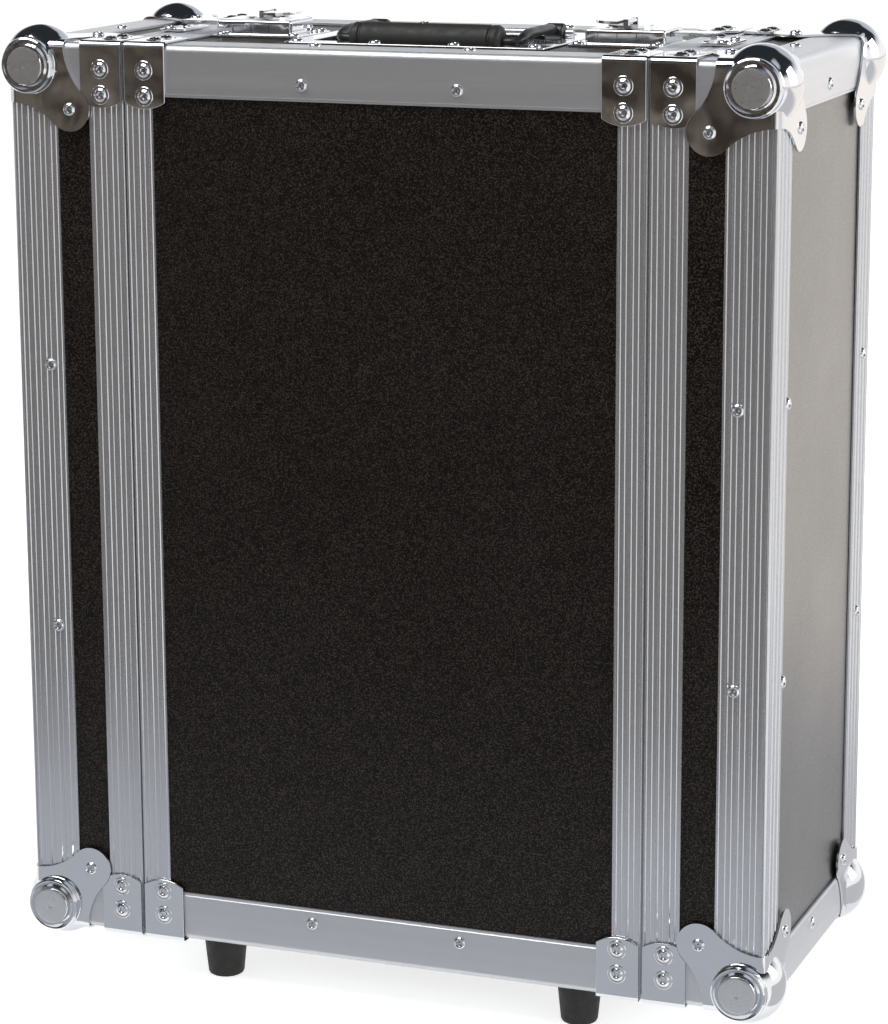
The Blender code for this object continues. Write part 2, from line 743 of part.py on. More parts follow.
def lid_strikes(name, side, meshes, mats):
    """A strike plate with a low lip for each claw, on the lid's closure extrusion."""
    near = JOINT_X + RUNNING_GAP + JOINT_GAP
    level = OUTER_Z + GAP
    half = STRIKE_WIDTH / 2
    plate = box((near, -half, level), (near + STRIKE_LENGTH, half, level + SHEET))
    lip_top = OUTER_Z + CLAW_LEVEL - CLAW_NOSE_DROP - GAP
    lip_half = half - 2 * STRIKE_LIP
    lip = box((near + STRIKE_LIP, -lip_half, level + SHEET / 2), (near + 2 * STRIKE_LIP, lip_half, lip_top))
    rivet_x = near + STRIKE_LENGTH - STRIKE_RIVET_INSET
    rivet_y = half - STRIKE_RIVET_INSET
    rivets = [rivet_on(meshes["rivet"], (rivet_x, hand * rivet_y, level + SHEET), "Z", 1) for hand in (-1, 1)]
    strike = joined([plate, lip] + rivets)
    for hand in (-1, 1):
        label = "%s_strike_%s" % (name, HEIGHT_WORDS[hand])
        node(label, moved(strike, mirror(side, 1, hand)), mats["chrome"])


def lid(name, side, meshes, mats):
    lid_boards(name, side, mats["laminate"])
    lid_edge_frame(name, side, meshes, mats)
    closure_frame(name + "_closure", side, side, LID_CLOSURE_LEG, False, meshes["lid_brace"], mats)
    ball_corners(name, side, meshes["corner"], mats["chrome"])
    lid_strikes(name, side, meshes, mats)
    lid_foam(name, side, mats["foam"])


# Latches


def latch_frame(side, hand):
    """From a latch's own frame, with x from the joint back over the body and z out of the case."""
    return [mirror(side, 1, hand), shift(JOINT_X, 0, OUTER_Z), mirror(-1, 1, 1)]


def latch_base_mesh(rivet):
    """The latch's plate and housing, hollow for the claw and bored for the hub's shaft."""
    start = BODY_CLOSURE_LEG + GAP
    seat = -SKIN
    half = LATCH_PLATE_WIDTH / 2
    plate = box((start, -half, seat), (start + LATCH_PLATE_LENGTH, half, seat + SHEET))
    wall = LATCH_HOUSING_WIDTH / 2
    back = start + LATCH_HOUSING_LENGTH
    housing = box((start + GAP, -wall, seat + SHEET / 2), (back, wall, LATCH_HOUSING_RISE))
    channel_half = CLAW_WIDTH / 2 + RUNNING_GAP
    channel_top = CLAW_LEVEL + CLAW_THICKNESS + GAP
    channel_back = back - 2 * SHEET
    channel = box((0, -channel_half, CLAW_LEVEL - GAP), (channel_back, channel_half, channel_top))
    bore = moved(cone(LATCH_SHAFT_RADIUS + GAP, LATCH_SHAFT_RADIUS + GAP, LATCH_HOUSING_RISE, 12),
                 shift(start + LATCH_HUB_BACK, 0, CLAW_LEVEL))
    base = combined(joined([plate, housing]), [channel, bore], "DIFFERENCE")
    rivets = []
    for x in (start + LATCH_RIVET_INSET, start + LATCH_PLATE_LENGTH - LATCH_RIVET_INSET):
        for y in (LATCH_RIVET_INSET - half, half - LATCH_RIVET_INSET):
            rivets.append(rivet_on(rivet, (x, y, seat + SHEET), "Z", 1))
    return joined([base] + rivets)


def latch_hub_mesh():
    """The turning hub with its shaft and the two ears that carry the wing."""
    hub = moved(cone(LATCH_HUB_RADIUS, LATCH_HUB_RADIUS, LATCH_HUB_HEIGHT, 20), shift(0, 0, GAP))
    shaft_low = CLAW_LEVEL + CLAW_THICKNESS + 2 * GAP - LATCH_HOUSING_RISE
    shaft_height = GAP + LATCH_HUB_HEIGHT / 2 - shaft_low
    shaft = moved(cone(LATCH_SHAFT_RADIUS, LATCH_SHAFT_RADIUS, shaft_height, 12), shift(0, 0, shaft_low))
    top = GAP + LATCH_HUB_HEIGHT
    ear_low = WING_KNUCKLE_LENGTH / 2 + GAP
    ear_top = top + GAP + 2 * WING_KNUCKLE_RADIUS
    ears = []
    for hand in (-1, 1):
        ears.append(slab((-WING_KNUCKLE_RADIUS, hand * ear_low, top - LATCH_HUB_HEIGHT / 2),
                         (WING_KNUCKLE_RADIUS, hand * (ear_low + WING_EAR), ear_top)))
    return joined([hub, shaft] + ears)


def latch_wing_mesh():
    """A half-round wing that hangs on its knuckle and lies flat over the hub."""
    knuckle = moved(cone(WING_KNUCKLE_RADIUS, WING_KNUCKLE_RADIUS, WING_KNUCKLE_LENGTH, 12),
                    turn(-90, "X"), shift(0, 0, -WING_KNUCKLE_LENGTH / 2))
    root = WING_KNUCKLE_LENGTH / 2 - 2 * GAP
    start = WING_KNUCKLE_RADIUS + WING_EAR / 2
    points = [(0, -root), (start, -root)]
    points += arc((start, 0), WING_RADIUS, -90, 90, 12)
    points += [(start, root), (0, root)]
    return joined([knuckle, outline(points, WING_SHEET)])


def latch_claw_mesh():
    """The sliding claw, whose nose reaches over the strike's lip."""
    half = CLAW_WIDTH / 2
    back = BODY_CLOSURE_LEG + GAP + LATCH_HUB_BACK
    tip = -CLAW_PAST_JOINT
    top = CLAW_LEVEL + CLAW_THICKNESS
    bar = box((tip, -half, CLAW_LEVEL), (back, half, top))
    nose_low = CLAW_LEVEL - CLAW_NOSE_DROP
    nose = box((tip, -half, nose_low), (tip + CLAW_NOSE_LENGTH, half, CLAW_LEVEL + CLAW_THICKNESS / 2))
    return joined([bar, nose])


def latches(meshes, mats):
    base = latch_base_mesh(meshes["rivet"])
    hub = latch_hub_mesh()
    wing = latch_wing_mesh()
    claw = latch_claw_mesh()
    hub_x = BODY_CLOSURE_LEG + GAP + LATCH_HUB_BACK
    wing_rise = LATCH_HOUSING_RISE + 2 * GAP + LATCH_HUB_HEIGHT + WING_KNUCKLE_RADIUS
    for (side, hand) in signs(2):
        name = "latch_%s_%s" % (END_WORDS[side], HEIGHT_WORDS[hand])
        frame = latch_frame(side, hand)
        pivot_x = side * (JOINT_X - hub_x)
        hub_pivot = (pivot_x, 0, hand * (OUTER_Z + LATCH_HOUSING_RISE))
        wing_pivot = (pivot_x, 0, hand * (OUTER_Z + wing_rise))
        node(name + "_base", moved(base, *frame), mats["chrome"])
        hub_place = shift(hub_x, 0, LATCH_HOUSING_RISE)
        turning = node(name + "_hub", moved(hub, *frame, hub_place), mats["chrome"], hub_pivot)
        wing_place = shift(hub_x, 0, wing_rise)
        node(name + "_wing", moved(wing, *frame, wing_place), mats["chrome"], wing_pivot, turning)
        node(name + "_claw", moved(claw, *frame), mats["chrome"])


# Handle


def handle_dish(meshes, mats):
    """A pan sunk through the top board, with a flange all round."""
    flange_low = BOARD_Z + GAP
    top = flange_low + SHEET
    bottom = top - DISH_DEPTH
    out_x = DISH_X + SHEET
    out_y = DISH_Y + SHEET
    flange = box((-DISH_X - DISH_FLANGE, -DISH_Y - DISH_FLANGE, flange_low),
                 (DISH_X + DISH_FLANGE, DISH_Y + DISH_FLANGE, top))
    pan = box((-out_x, -out_y, bottom), (out_x, out_y, top - SHEET / 2))
    hollow = box((-DISH_X, -DISH_Y, bottom + SHEET), (DISH_X, DISH_Y, top + SHEET))
    dish = combined(joined([flange, pan]), [hollow], "DIFFERENCE")
    edge = DISH_Y + DISH_FLANGE / 2
    rivets = []
    for y in (-edge, edge):
        for x in (-DISH_RIVET_X, 0, DISH_RIVET_X):
            rivets.append(rivet_on(meshes["rivet"], (x, y, top), "Z", 1))
    node("handle_dish", joined([dish] + rivets), mats["chrome"])


def handle(mats):
    pivot = (0, PIVOT_Y, OUTER_Z + PIVOT_RISE)
    axle_length = 2 * (DISH_X - GAP)
    axle = moved(cone(AXLE_RADIUS, AXLE_RADIUS, axle_length, 16),
                 shift(-axle_length / 2, PIVOT_Y, pivot[2]), turn(90, "Y"))
    node("handle_axle", axle, mats["zinc"])
    grip_y = PIVOT_Y - GRIP_FROM_PIVOT
    arm_z = OUTER_Z + BAIL_ARM_RISE
    bend = BAIL_BEND / 2
    side_run = [
        (BAIL_ARM_X, PIVOT_Y, pivot[2]),
        (BAIL_ARM_X, PIVOT_Y - 2 * bend, arm_z),
        (BAIL_ARM_X, grip_y + BAIL_BEND + bend, arm_z),
        (BAIL_ARM_X, grip_y + bend, OUTER_Z + bend / 2),
        (BAIL_ARM_X - bend / 2, grip_y + bend / 4, OUTER_Z),
        (BAIL_ARM_X - bend, grip_y, OUTER_Z),
    ]
    route = side_run + [(-x, y, z) for x, y, z in reversed(side_run)]
    rod = tube(route, BAIL_RADIUS)
    knuckle = cone(KNUCKLE_RADIUS, KNUCKLE_RADIUS, KNUCKLE_LENGTH, 16)
    bore = cone(AXLE_RADIUS + GAP, AXLE_RADIUS + GAP, 2 * KNUCKLE_LENGTH, 16)
    knuckles = []
    bores = []
    for hand in (-1, 1):
        place = shift(hand * BAIL_ARM_X, PIVOT_Y, pivot[2])
        knuckles.append(moved(knuckle, place, turn(90, "Y"), shift(0, 0, -KNUCKLE_LENGTH / 2)))
        bores.append(moved(bore, place, turn(90, "Y"), shift(0, 0, -KNUCKLE_LENGTH)))
    bail = combined(joined([rod] + knuckles), bores, "DIFFERENCE")
    loop = node("handle_bail", bail, mats["black"], pivot)
    half = GRIP_LENGTH / 2
    inner = BAIL_RADIUS + GAP
    sleeve = turned([
        (inner, half),
        (GRIP_RADIUS - GRIP_ROUNDING, half),
        (GRIP_RADIUS, half - GRIP_ROUNDING),
        (GRIP_RADIUS, -half + GRIP_ROUNDING),
        (GRIP_RADIUS - GRIP_ROUNDING, -half),
        (inner, -half),
    ], 20, closed=True)
    grip = moved(sleeve, shift(0, grip_y, OUTER_Z), turn(90, "Y"))
    node("handle_grip", grip, mats["rubber"], pivot, loop)


# Feet


def feet(mats):
    """Tapered feet, each with a deep recess and the head of its screw at the end of it."""
    low = -FOOT_HEIGHT
    ceiling = low + FOOT_RECESS_DEPTH
    profile = [
        (0, -GAP),
        (FOOT_TOP_RADIUS, -GAP),
        (FOOT_BOTTOM_RADIUS + FOOT_ROUNDING / 4, low + FOOT_ROUNDING),
        (FOOT_BOTTOM_RADIUS - FOOT_ROUNDING, low),
        (FOOT_RECESS_RADIUS, low),
        (FOOT_RECESS_RADIUS, ceiling),
        (FOOT_SCREW_RADIUS, ceiling),
        (FOOT_SCREW_RADIUS, ceiling - FOOT_SCREW_HEIGHT),
        (0, ceiling - FOOT_SCREW_HEIGHT),
    ]
    foot = turned(profile, 14)
    for side, hand in signs(2):
        name = "foot_%s_%s" % (END_WORDS[side], DEPTH_WORDS[hand])
        node(name, moved(foot, shift(side * FOOT_X, hand * FOOT_Y, -OUTER_Z)), mats["rubber"])


# Rack rails


def rail_mesh():
    """One rail on the upper board for the end at plus X, with its row of panel holes."""
    face_x = JOINT_X - RAIL_RECESS
    half_y = RACK_UNITS * RACK_UNIT / 2
    seat = INNER_Z - GAP
    low_z = RACK_CLEAR_WIDTH / 2
    profile = [
        (face_x, seat),
        (face_x, low_z),
        (face_x - RAIL_SHEET, low_z),
        (face_x - RAIL_SHEET, seat - RAIL_SHEET),
        (face_x - RAIL_LEG, seat - RAIL_SHEET),
        (face_x - RAIL_LEG, seat),
    ]
    rail = moved(outline(profile, 2 * half_y), XY_TO_XZ)
    drill = cone(RACK_HOLE_RADIUS, RACK_HOLE_RADIUS, 4 * RAIL_SHEET, 6)
    drills = []
    for unit in range(RACK_UNITS):
        for step in RACK_HOLE_STEPS:
            y = -half_y + unit * RACK_UNIT + step
            place = shift(face_x - 3 * RAIL_SHEET, y, RACK_HOLE_SPREAD / 2)
            drills.append(moved(drill, place, turn(90, "Y")))
    return combined(rail, drills, "DIFFERENCE")


def rails(mats):
    """Four rails, each held to its board by two screws."""
    x = JOINT_X - RAIL_RECESS - RAIL_LEG / 2 - RAIL_SHEET
    z = INNER_Z - GAP - RAIL_SHEET
    y = (RACK_UNITS - 1) * RACK_UNIT / 2
    height = RAIL_SCREW_HEIGHT + GAP
    screw = moved(cone(RAIL_SCREW_RADIUS, RAIL_SCREW_RADIUS * 0.7, height, 8), shift(0, 0, -GAP))
    screws = [moved(screw, shift(x, hand * y, z), turn(180, "X")) for hand in (-1, 1)]
    rail = joined([rail_mesh()] + screws)
    for side, hand in signs(2):
        name = "rack_rail_%s_%s" % (END_WORDS[side], HEIGHT_WORDS[hand])
        node(name, moved(rail, mirror(side, 1, hand)), mats["zinc"])


def build():
    mats = {
        "laminate": material("laminate", LAMINATE, 0.45, 0.0),
        "aluminium": material("aluminium", ALUMINIUM, 0.32, 1.0),
        "chrome": material("chrome", CHROME, 0.1, 1.0),
        "zinc": material("zinc", ZINC, 0.4, 1.0),
        "black": material("black_coat", RUBBER, 0.4, 0.0),
        "rubber": material("rubber", RUBBER, 0.7, 0.0),
        "foam": material("foam", FOAM_GREY, 0.95, 0.0),
    }
    rivet = rivet_mesh(GAP)
    brace = riveted_brace_mesh()
    meshes = {
        "rivet": rivet,
        "lid_brace": notched_brace_mesh(brace.copy()),
        "corner": ball_corner_mesh(rivet),
    }
    body_boards(mats["laminate"])
    body_edge_angles(meshes, mats)
    closure_frame("body_closure_front", -1, 1, BODY_CLOSURE_LEG, True, brace, mats)
    closure_frame("body_closure_rear", 1, -1, BODY_CLOSURE_LEG, True, brace, mats)
    rails(mats)
    feet(mats)
    handle_dish(meshes, mats)
    handle(mats)
    latches(meshes, mats)
    lid("front_lid", -1, meshes, mats)
    lid("rear_lid", 1, meshes, mats)


build()
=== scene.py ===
import math

import bmesh
import bpy
from mathutils import Matrix, Vector

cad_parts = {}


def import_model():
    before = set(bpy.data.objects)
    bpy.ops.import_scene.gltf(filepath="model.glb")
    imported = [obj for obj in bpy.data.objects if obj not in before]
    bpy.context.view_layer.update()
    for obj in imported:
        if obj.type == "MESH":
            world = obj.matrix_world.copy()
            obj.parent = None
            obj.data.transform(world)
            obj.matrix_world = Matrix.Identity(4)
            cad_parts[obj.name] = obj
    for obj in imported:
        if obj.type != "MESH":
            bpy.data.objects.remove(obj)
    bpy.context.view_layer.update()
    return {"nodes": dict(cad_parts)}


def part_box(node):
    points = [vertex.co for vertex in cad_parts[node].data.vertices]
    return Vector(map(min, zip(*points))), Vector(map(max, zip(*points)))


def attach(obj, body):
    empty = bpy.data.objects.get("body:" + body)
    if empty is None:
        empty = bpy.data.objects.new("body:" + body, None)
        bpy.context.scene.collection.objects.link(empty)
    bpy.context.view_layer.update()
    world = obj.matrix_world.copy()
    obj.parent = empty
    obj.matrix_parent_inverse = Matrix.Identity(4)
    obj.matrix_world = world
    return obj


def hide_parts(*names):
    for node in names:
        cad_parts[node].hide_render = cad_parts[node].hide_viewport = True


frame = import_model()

# The looks of an effects rack case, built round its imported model.
# Lengths are in metres and angles in degrees. Meshes are made in coordinates from the middle of the
# case, and piece() lifts them to their place.

MM = 0.001

# Clearances, sheets and soft edges
GAP = 0.3 * MM
SHEET = 1.2 * MM
SKIN = 1.6 * MM
BOARD = 7.0 * MM
JOINT_GAP = 1.0 * MM
FINE_EDGE = 0.25 * MM
THIN_EDGE = 0.3 * MM
SOFT_EDGE = 0.35 * MM
WIDE_EDGE = 0.5 * MM
WIDE_EDGE_SEGMENTS = 3
BEVEL_ANGLE = 35
NODE_BEVEL_ANGLE = 40
SHARP_ANGLE = 32

# Places taken from the frame
FRONT_LOW, FRONT_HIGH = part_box("body_front_panel")
CENTRE = Vector((0, 0, (FRONT_LOW.z + FRONT_HIGH.z) / 2))
OUTER_Y = -FRONT_LOW.y + GAP + SKIN
OUTER_Z = FRONT_HIGH.z - CENTRE.z + GAP + SKIN
INNER_Y = -FRONT_HIGH.y
INNER_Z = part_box("body_top_panel")[0].z - CENTRE.z
OUTER_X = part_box("rear_lid_end_panel")[1].x + GAP + SKIN
JOINT_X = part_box("body_closure_rear")[1].x + JOINT_GAP / 2

# Extrusions
ANGLE_LEG = 28.2 * MM
ANGLE_RADIUS = 4.0 * MM
ANGLE_STEP = 1.4 * MM
ANGLE_SLOPE = 0.42 * MM
ANGLE_SINK = 0.35 * MM
RIBBED_RADIUS = 1.8 * MM
BODY_CLOSURE_LEG = 17.0 * MM
LID_CLOSURE_LEG = 21.4 * MM
CLOSURE_LIP = 1.2 * MM
CLOSURE_LIP_LENGTH = 12.0 * MM
WEB = 1.5 * MM
TONGUE_WIDTH = 2.4 * MM
TONGUE_DEPTH = 2.7 * MM
GROOVE_DEPTH = 3.2 * MM

# Beads; numbers without MM are shares of a bead's half width or height
BEAD_PITCH = 3.45 * MM
BEAD_START = 0.9 * MM
BEAD_HEIGHT = 0.6 * MM
BEAD_HALF = 0.65 * MM
SLIGHT_BEAD = 0.4
BEAD_FOOT = 1.3
BEAD_SHOULDER = 0.7
BEAD_SHOULDER_DROP = 0.2

# Braces
BRACE_WIDTH = 24.4 * MM
BRACE_REACH = 36.5 * MM
BRACE_END_RADIUS = 22.0 * MM
BRACE_FROM_JOINT = 1.1 * MM
BRACE_BEND = 3.5 * MM
BRACE_RIVETS = (14.0 * MM, 28.0 * MM)

# Ball corners; the pole is the flat cut in each ball's side, where the boss sits
BALL_RADIUS = 21.5 * MM
BALL_INSET = 12.9 * MM
BALL_STEPS = 56
POLE_RADIUS = 15.4 * MM
POLE_LEVEL = 16.0 * MM
POLE_CUT_TOP = 40.0 * MM
BOSS_DISC_RADIUS = 10.0 * MM
LOBE_START = 33.5 * MM
LOBE_NOTCH_RADIUS = 39.0 * MM
LOBE_RIVET = 36.5 * MM
LOBE_CLEARANCE = 0.2 * MM

# Rivets
LID_EDGE_RIVET = 75.5 * MM
BODY_EDGE_RIVET = 44.5 * MM
EDGE_RIVET_INSET = 19.5 * MM
END_RIVET_NEAR = 74.0 * MM
END_RIVET_FAR = 87.0 * MM
PLATE_RIVET_INSET = 5.0 * MM

# Feet and foam; a pad's crown falls by a share of its half depth, from a share of its half width on
FOOT_X = 108.0 * MM
FOOT_Y = 80.0 * MM
FOAM_MARGIN = 0.4 * MM
FOAM_EDGE = 1.5 * MM
FOAM_CUTS = 15
FOAM_CROWN = 0.16
FOAM_CROWN_START = 0.72

# Handle
DISH_FLANGE = 12.0 * MM
DISH_CORNER = 5.0 * MM
DISH_DEPTH = 15.0 * MM
DISH_RIVETS = (-69.0 * MM, -23.0 * MM, 23.0 * MM, 69.0 * MM)
GRIP_RADIUS = 9.5 * MM
GRIP_LENGTH = 88.0 * MM
GRIP_Y = -28.0 * MM
BAIL_RADIUS = 2.8 * MM
BAIL_BEND = 7.0 * MM
BAIL_ARM_X = 53.0 * MM
BAIL_ARM_RISE = 4.0 * MM
BAIL_FROM_PIVOT = 8.0 * MM
BAIL_FROM_GRIP = 12.0 * MM
BAIL_IN_GRIP = 4.0 * MM
PIVOT_Y = 33.0 * MM
PIVOT_RISE = 1.0 * MM

# Latches
LATCH_PLATE_LENGTH = 54.0 * MM
LATCH_PLATE_WIDTH = 48.0 * MM
LATCH_PLATE_CORNER = 3.0 * MM
LATCH_HOUSING_LENGTH = 46.0 * MM
LATCH_HOUSING_WIDTH = 33.0 * MM
LATCH_HOUSING_RISE = 7.6 * MM
LATCH_HOUSING_EDGE = 1.6 * MM
LATCH_HUB_BACK = 25.0 * MM
SLOT_COUNT = 3
SLOT_START = 10.0 * MM
SLOT_PITCH = 11.0 * MM
SLOT_LENGTH = 7.0 * MM
SLOT_DEPTH = 1.1 * MM
SLOT_LOW = 0.8 * MM
SLOT_HIGH = 5.2 * MM
CLAW_WIDTH = 15.0 * MM
CLAW_LEVEL = 3.9 * MM
CLAW_THICKNESS = 2.2 * MM
CLAW_SIDE_GAP = 0.5 * MM

# Strikes
STRIKE_WIDTH = 34.0 * MM
STRIKE_LENGTH = 17.0 * MM
STRIKE_CORNER = 2.5 * MM
STRIKE_FROM_JOINT = 1.5 * MM
STRIKE_LIP_START = 1.5 * MM
STRIKE_LIP_END = 3.0 * MM
STRIKE_LIP_INSET = 3.0 * MM
STRIKE_LIP_TOP = 2.6 * MM

# Camera, fitted to the photograph; its place is measured from the case's middle
CAMERA_YAW = 21.085
CAMERA_PITCH = 12.806
CAMERA_ROLL = -0.252
CAMERA_PLACE = Vector((0.6595, -1.7168, 0.4028))
FOCAL_PIXELS = 3289.1
PHOTO_HEIGHT = 1024
SENSOR_WIDTH = 36

SIDES = (-1, 1)
SIDE_PAIRS = ((-1, -1), (-1, 1), (1, -1), (1, 1))
END_WORDS = {-1: "front", 1: "rear"}
DEPTH_WORDS = {-1: "near", 1: "far"}
HEIGHT_WORDS = {-1: "bottom", 1: "top"}


# Mesh helpers


def shift(x=0, y=0, z=0):
    return Matrix.Translation((x, y, z))


def mirror(x, y, z):
    return Matrix.Diagonal((x, y, z, 1))


def turn(degrees, axis):
    return Matrix.Rotation(math.radians(degrees), 4, axis)


XY_TO_XZ = turn(90, "X")
XY_TO_YZ = Matrix(((0, 0, 1, 0), (1, 0, 0, 0), (0, 1, 0, 0), (0, 0, 0, 1)))
SWAP_Y_Z = Matrix(((1, 0, 0, 0), (0, 0, 1, 0), (0, 1, 0, 0), (0, 0, 0, 1)))
SWAP_X_Z = Matrix(((0, 0, 1, 0), (0, 1, 0, 0), (1, 0, 0, 0), (0, 0, 0, 1)))
Z_TO_X = turn(90, "Y")
Z_TO_Y = turn(-90, "X")
BALL_CENTRE = shift(-BALL_INSET, -BALL_INSET, -BALL_INSET)


def in_mm(points):
    """Points given in millimetres."""
    return [(x * MM, y * MM) for x, y in points]


def mesh_from(bm):
    mesh = bpy.data.meshes.new("mesh")
    bm.to_mesh(mesh)
    bm.free()
    return mesh


def closed_mesh(bm):
    """The mesh with all its faces turned out."""
    bmesh.ops.recalc_face_normals(bm, faces=bm.faces)
    if bm.calc_volume(signed=True) < 0:
        bmesh.ops.reverse_faces(bm, faces=bm.faces)
    return mesh_from(bm)


def moved(mesh, *matrices):
    """A copy of the mesh; the last matrix is applied first, and a mirror keeps faces out."""
    matrix = Matrix.Identity(4)
    for step in matrices:
        matrix = matrix @ step
    copy = mesh.copy()
    copy.transform(matrix)
    if matrix.determinant() < 0:
        copy.flip_normals()
    return copy


def merged(meshes):
    """One mesh that holds several closed shells."""
    bm = bmesh.new()
    for mesh in meshes:
        bm.from_mesh(mesh)
    return mesh_from(bm)


def slab(low, high):
    """A box between two opposite corners, in any order."""
    low, high = (Vector(corner) for corner in zip(*(sorted(pair) for pair in zip(low, high))))
    bm = bmesh.new()
    bmesh.ops.create_cube(bm, size=1)
    bmesh.ops.scale(bm, vec=high - low, verts=bm.verts)
    bmesh.ops.translate(bm, vec=(low + high) / 2, verts=bm.verts)
    return closed_mesh(bm)


def extrusion(points, thickness):
    """A flat outline in the XY plane, half of its thickness to each side."""
    bm = bmesh.new()
    verts = [bm.verts.new((x, y, -thickness / 2)) for x, y in points]
    face = bm.faces.new(verts)
    grown = bmesh.ops.extrude_face_region(bm, geom=[face])["geom"]
    top = [item for item in grown if isinstance(item, bmesh.types.BMVert)]
    bmesh.ops.translate(bm, vec=(0, 0, thickness), verts=top)
    return closed_mesh(bm)


def turned(profile, steps):
    """A profile of (radius, height) points turned round Z."""
    bm = bmesh.new()
    verts = [bm.verts.new((radius, 0, height)) for radius, height in profile]
    edges = [bm.edges.new(pair) for pair in zip(verts, verts[1:])]
    bmesh.ops.spin(bm, geom=verts + edges, cent=(0, 0, 0), axis=(0, 0, 1), angle=2 * math.pi,
                   steps=steps, use_duplicate=False)
    bmesh.ops.remove_doubles(bm, verts=bm.verts, dist=0.001 * MM)
    return closed_mesh(bm)


def linked(name, data):
    """A new object in the scene."""
    obj = bpy.data.objects.new(name, data)
    bpy.context.scene.collection.objects.link(obj)
    return obj


def evaluated(obj):
    """The object's final mesh; the object itself is removed."""
    bpy.context.view_layer.update()
    graph = bpy.context.evaluated_depsgraph_get()
    mesh = bpy.data.meshes.new_from_object(obj.evaluated_get(graph))
    bpy.data.objects.remove(obj)
    return mesh


def applied(mesh, *modifiers):
    """The mesh with modifiers, each given as (type, settings)."""
    obj = linked("temporary", mesh)
    for kind, settings in modifiers:
        modifier = obj.modifiers.new(kind, kind)
        for name, value in settings.items():
            setattr(modifier, name, value)
    return evaluated(obj)


def combined(mesh, others, operation):
    """The mesh after a Boolean operation with each of the others in turn."""
    cutters = [linked("cutter", other) for other in others]
    settings = {"operation": operation, "solver": "EXACT"}
    result = applied(mesh, *[("BOOLEAN", {**settings, "object": cutter}) for cutter in cutters])
    for cutter in cutters:
        bpy.data.objects.remove(cutter)
    return result


def softened(mesh, width, segments=2):
    """The mesh with its sharp edges rounded a little."""
    settings = {"width": width, "segments": segments, "limit_method": "ANGLE",
                "angle_limit": math.radians(BEVEL_ANGLE), "use_clamp_overlap": True}
    return applied(mesh, ("BEVEL", settings))


def rounded_box(low, high, radius, segments=6):
    return applied(slab(low, high), ("BEVEL", {"width": radius, "segments": segments}))


def arc(centre, radius, start, end, steps):
    """Points along an arc, both ends included."""
    points = []
    for index in range(steps + 1):
        angle = math.radians(start + (end - start) * index / steps)
        points.append((centre[0] + radius * math.cos(angle), centre[1] + radius * math.sin(angle)))
    return points


def rounded_rectangle(half_x, half_y, radius):
    points = []
    for quarter, (sign_x, sign_y) in enumerate(((1, 1), (-1, 1), (-1, -1), (1, -1))):
        centre = (sign_x * (half_x - radius), sign_y * (half_y - radius))
        points += arc(centre, radius, 90 * quarter, 90 * quarter + 90, steps=6)
    return points


def piece(name, mesh, mats, body, slot, *replaced):
    """One piece of the object, from a mesh in coordinates from the case's middle."""
    mesh.name = name
    mesh.transform(Matrix.Translation(CENTRE))
    for mat in mats if isinstance(mats, list) else [mats]:
        mesh.materials.append(mat)
    mesh.shade_smooth()
    mesh.set_sharp_from_angle(angle=math.radians(SHARP_ANGLE))
    obj = linked(name, mesh)
    obj.modifiers.new("Flat faces", "WEIGHTED_NORMAL").keep_sharp = True
    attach(obj, body)
    if replaced:
        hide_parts(*replaced)
    return obj


# Node trees


class Nodes:
    """A node tree that is built node by node; grain is the roughness of its noise textures."""

    grain = 0.5

    def __init__(self, tree, coordinates="Object"):
        self.tree = tree
        self.place = self.add("TexCoord").outputs[coordinates]

    def feed(self, socket, value):
        """Links a node's output to the socket, or else sets its value; a colour gets its alpha."""
        if isinstance(value, bpy.types.NodeSocket):
            self.tree.links.new(value, socket)
        else:
            socket.default_value = (*value, 1) if socket.type == "RGBA" else value

    def add(self, kind, inputs=None, **properties):
        """A new node with its properties set and its inputs fed."""
        node = self.tree.nodes.new("ShaderNode" + kind)
        for name, value in properties.items():
            setattr(node, name, value)
        for name, value in (inputs or {}).items():
            self.feed(node.inputs[name], value)
        return node

    def noise(self, scale, detail, vector=None):
        """A noise texture over the object, or over other coordinates."""
        inputs = {"Vector": vector or self.place, "Scale": scale, "Detail": detail, "Roughness": self.grain}
        return self.add("TexNoise", inputs).outputs["Fac"]

    def ramp(self, value, low, high, start=0.0, end=1.0, shape="LINEAR"):
        """The range from low to high, mapped to start and end and held beyond them."""
        inputs = {"Value": value, "From Min": low, "From Max": high, "To Min": start, "To Max": end}
        return self.add("MapRange", inputs, interpolation_type=shape).outputs["Result"]

    def smooth(self, value, low, high, start=0.0, end=1.0):
        return self.ramp(value, low, high, start, end, "SMOOTHSTEP")

    def mixed(self, value, first, second):
        inputs = {"Factor": value, "A": first, "B": second}
        return self.add("Mix", inputs, data_type="RGBA").outputs["Result"]


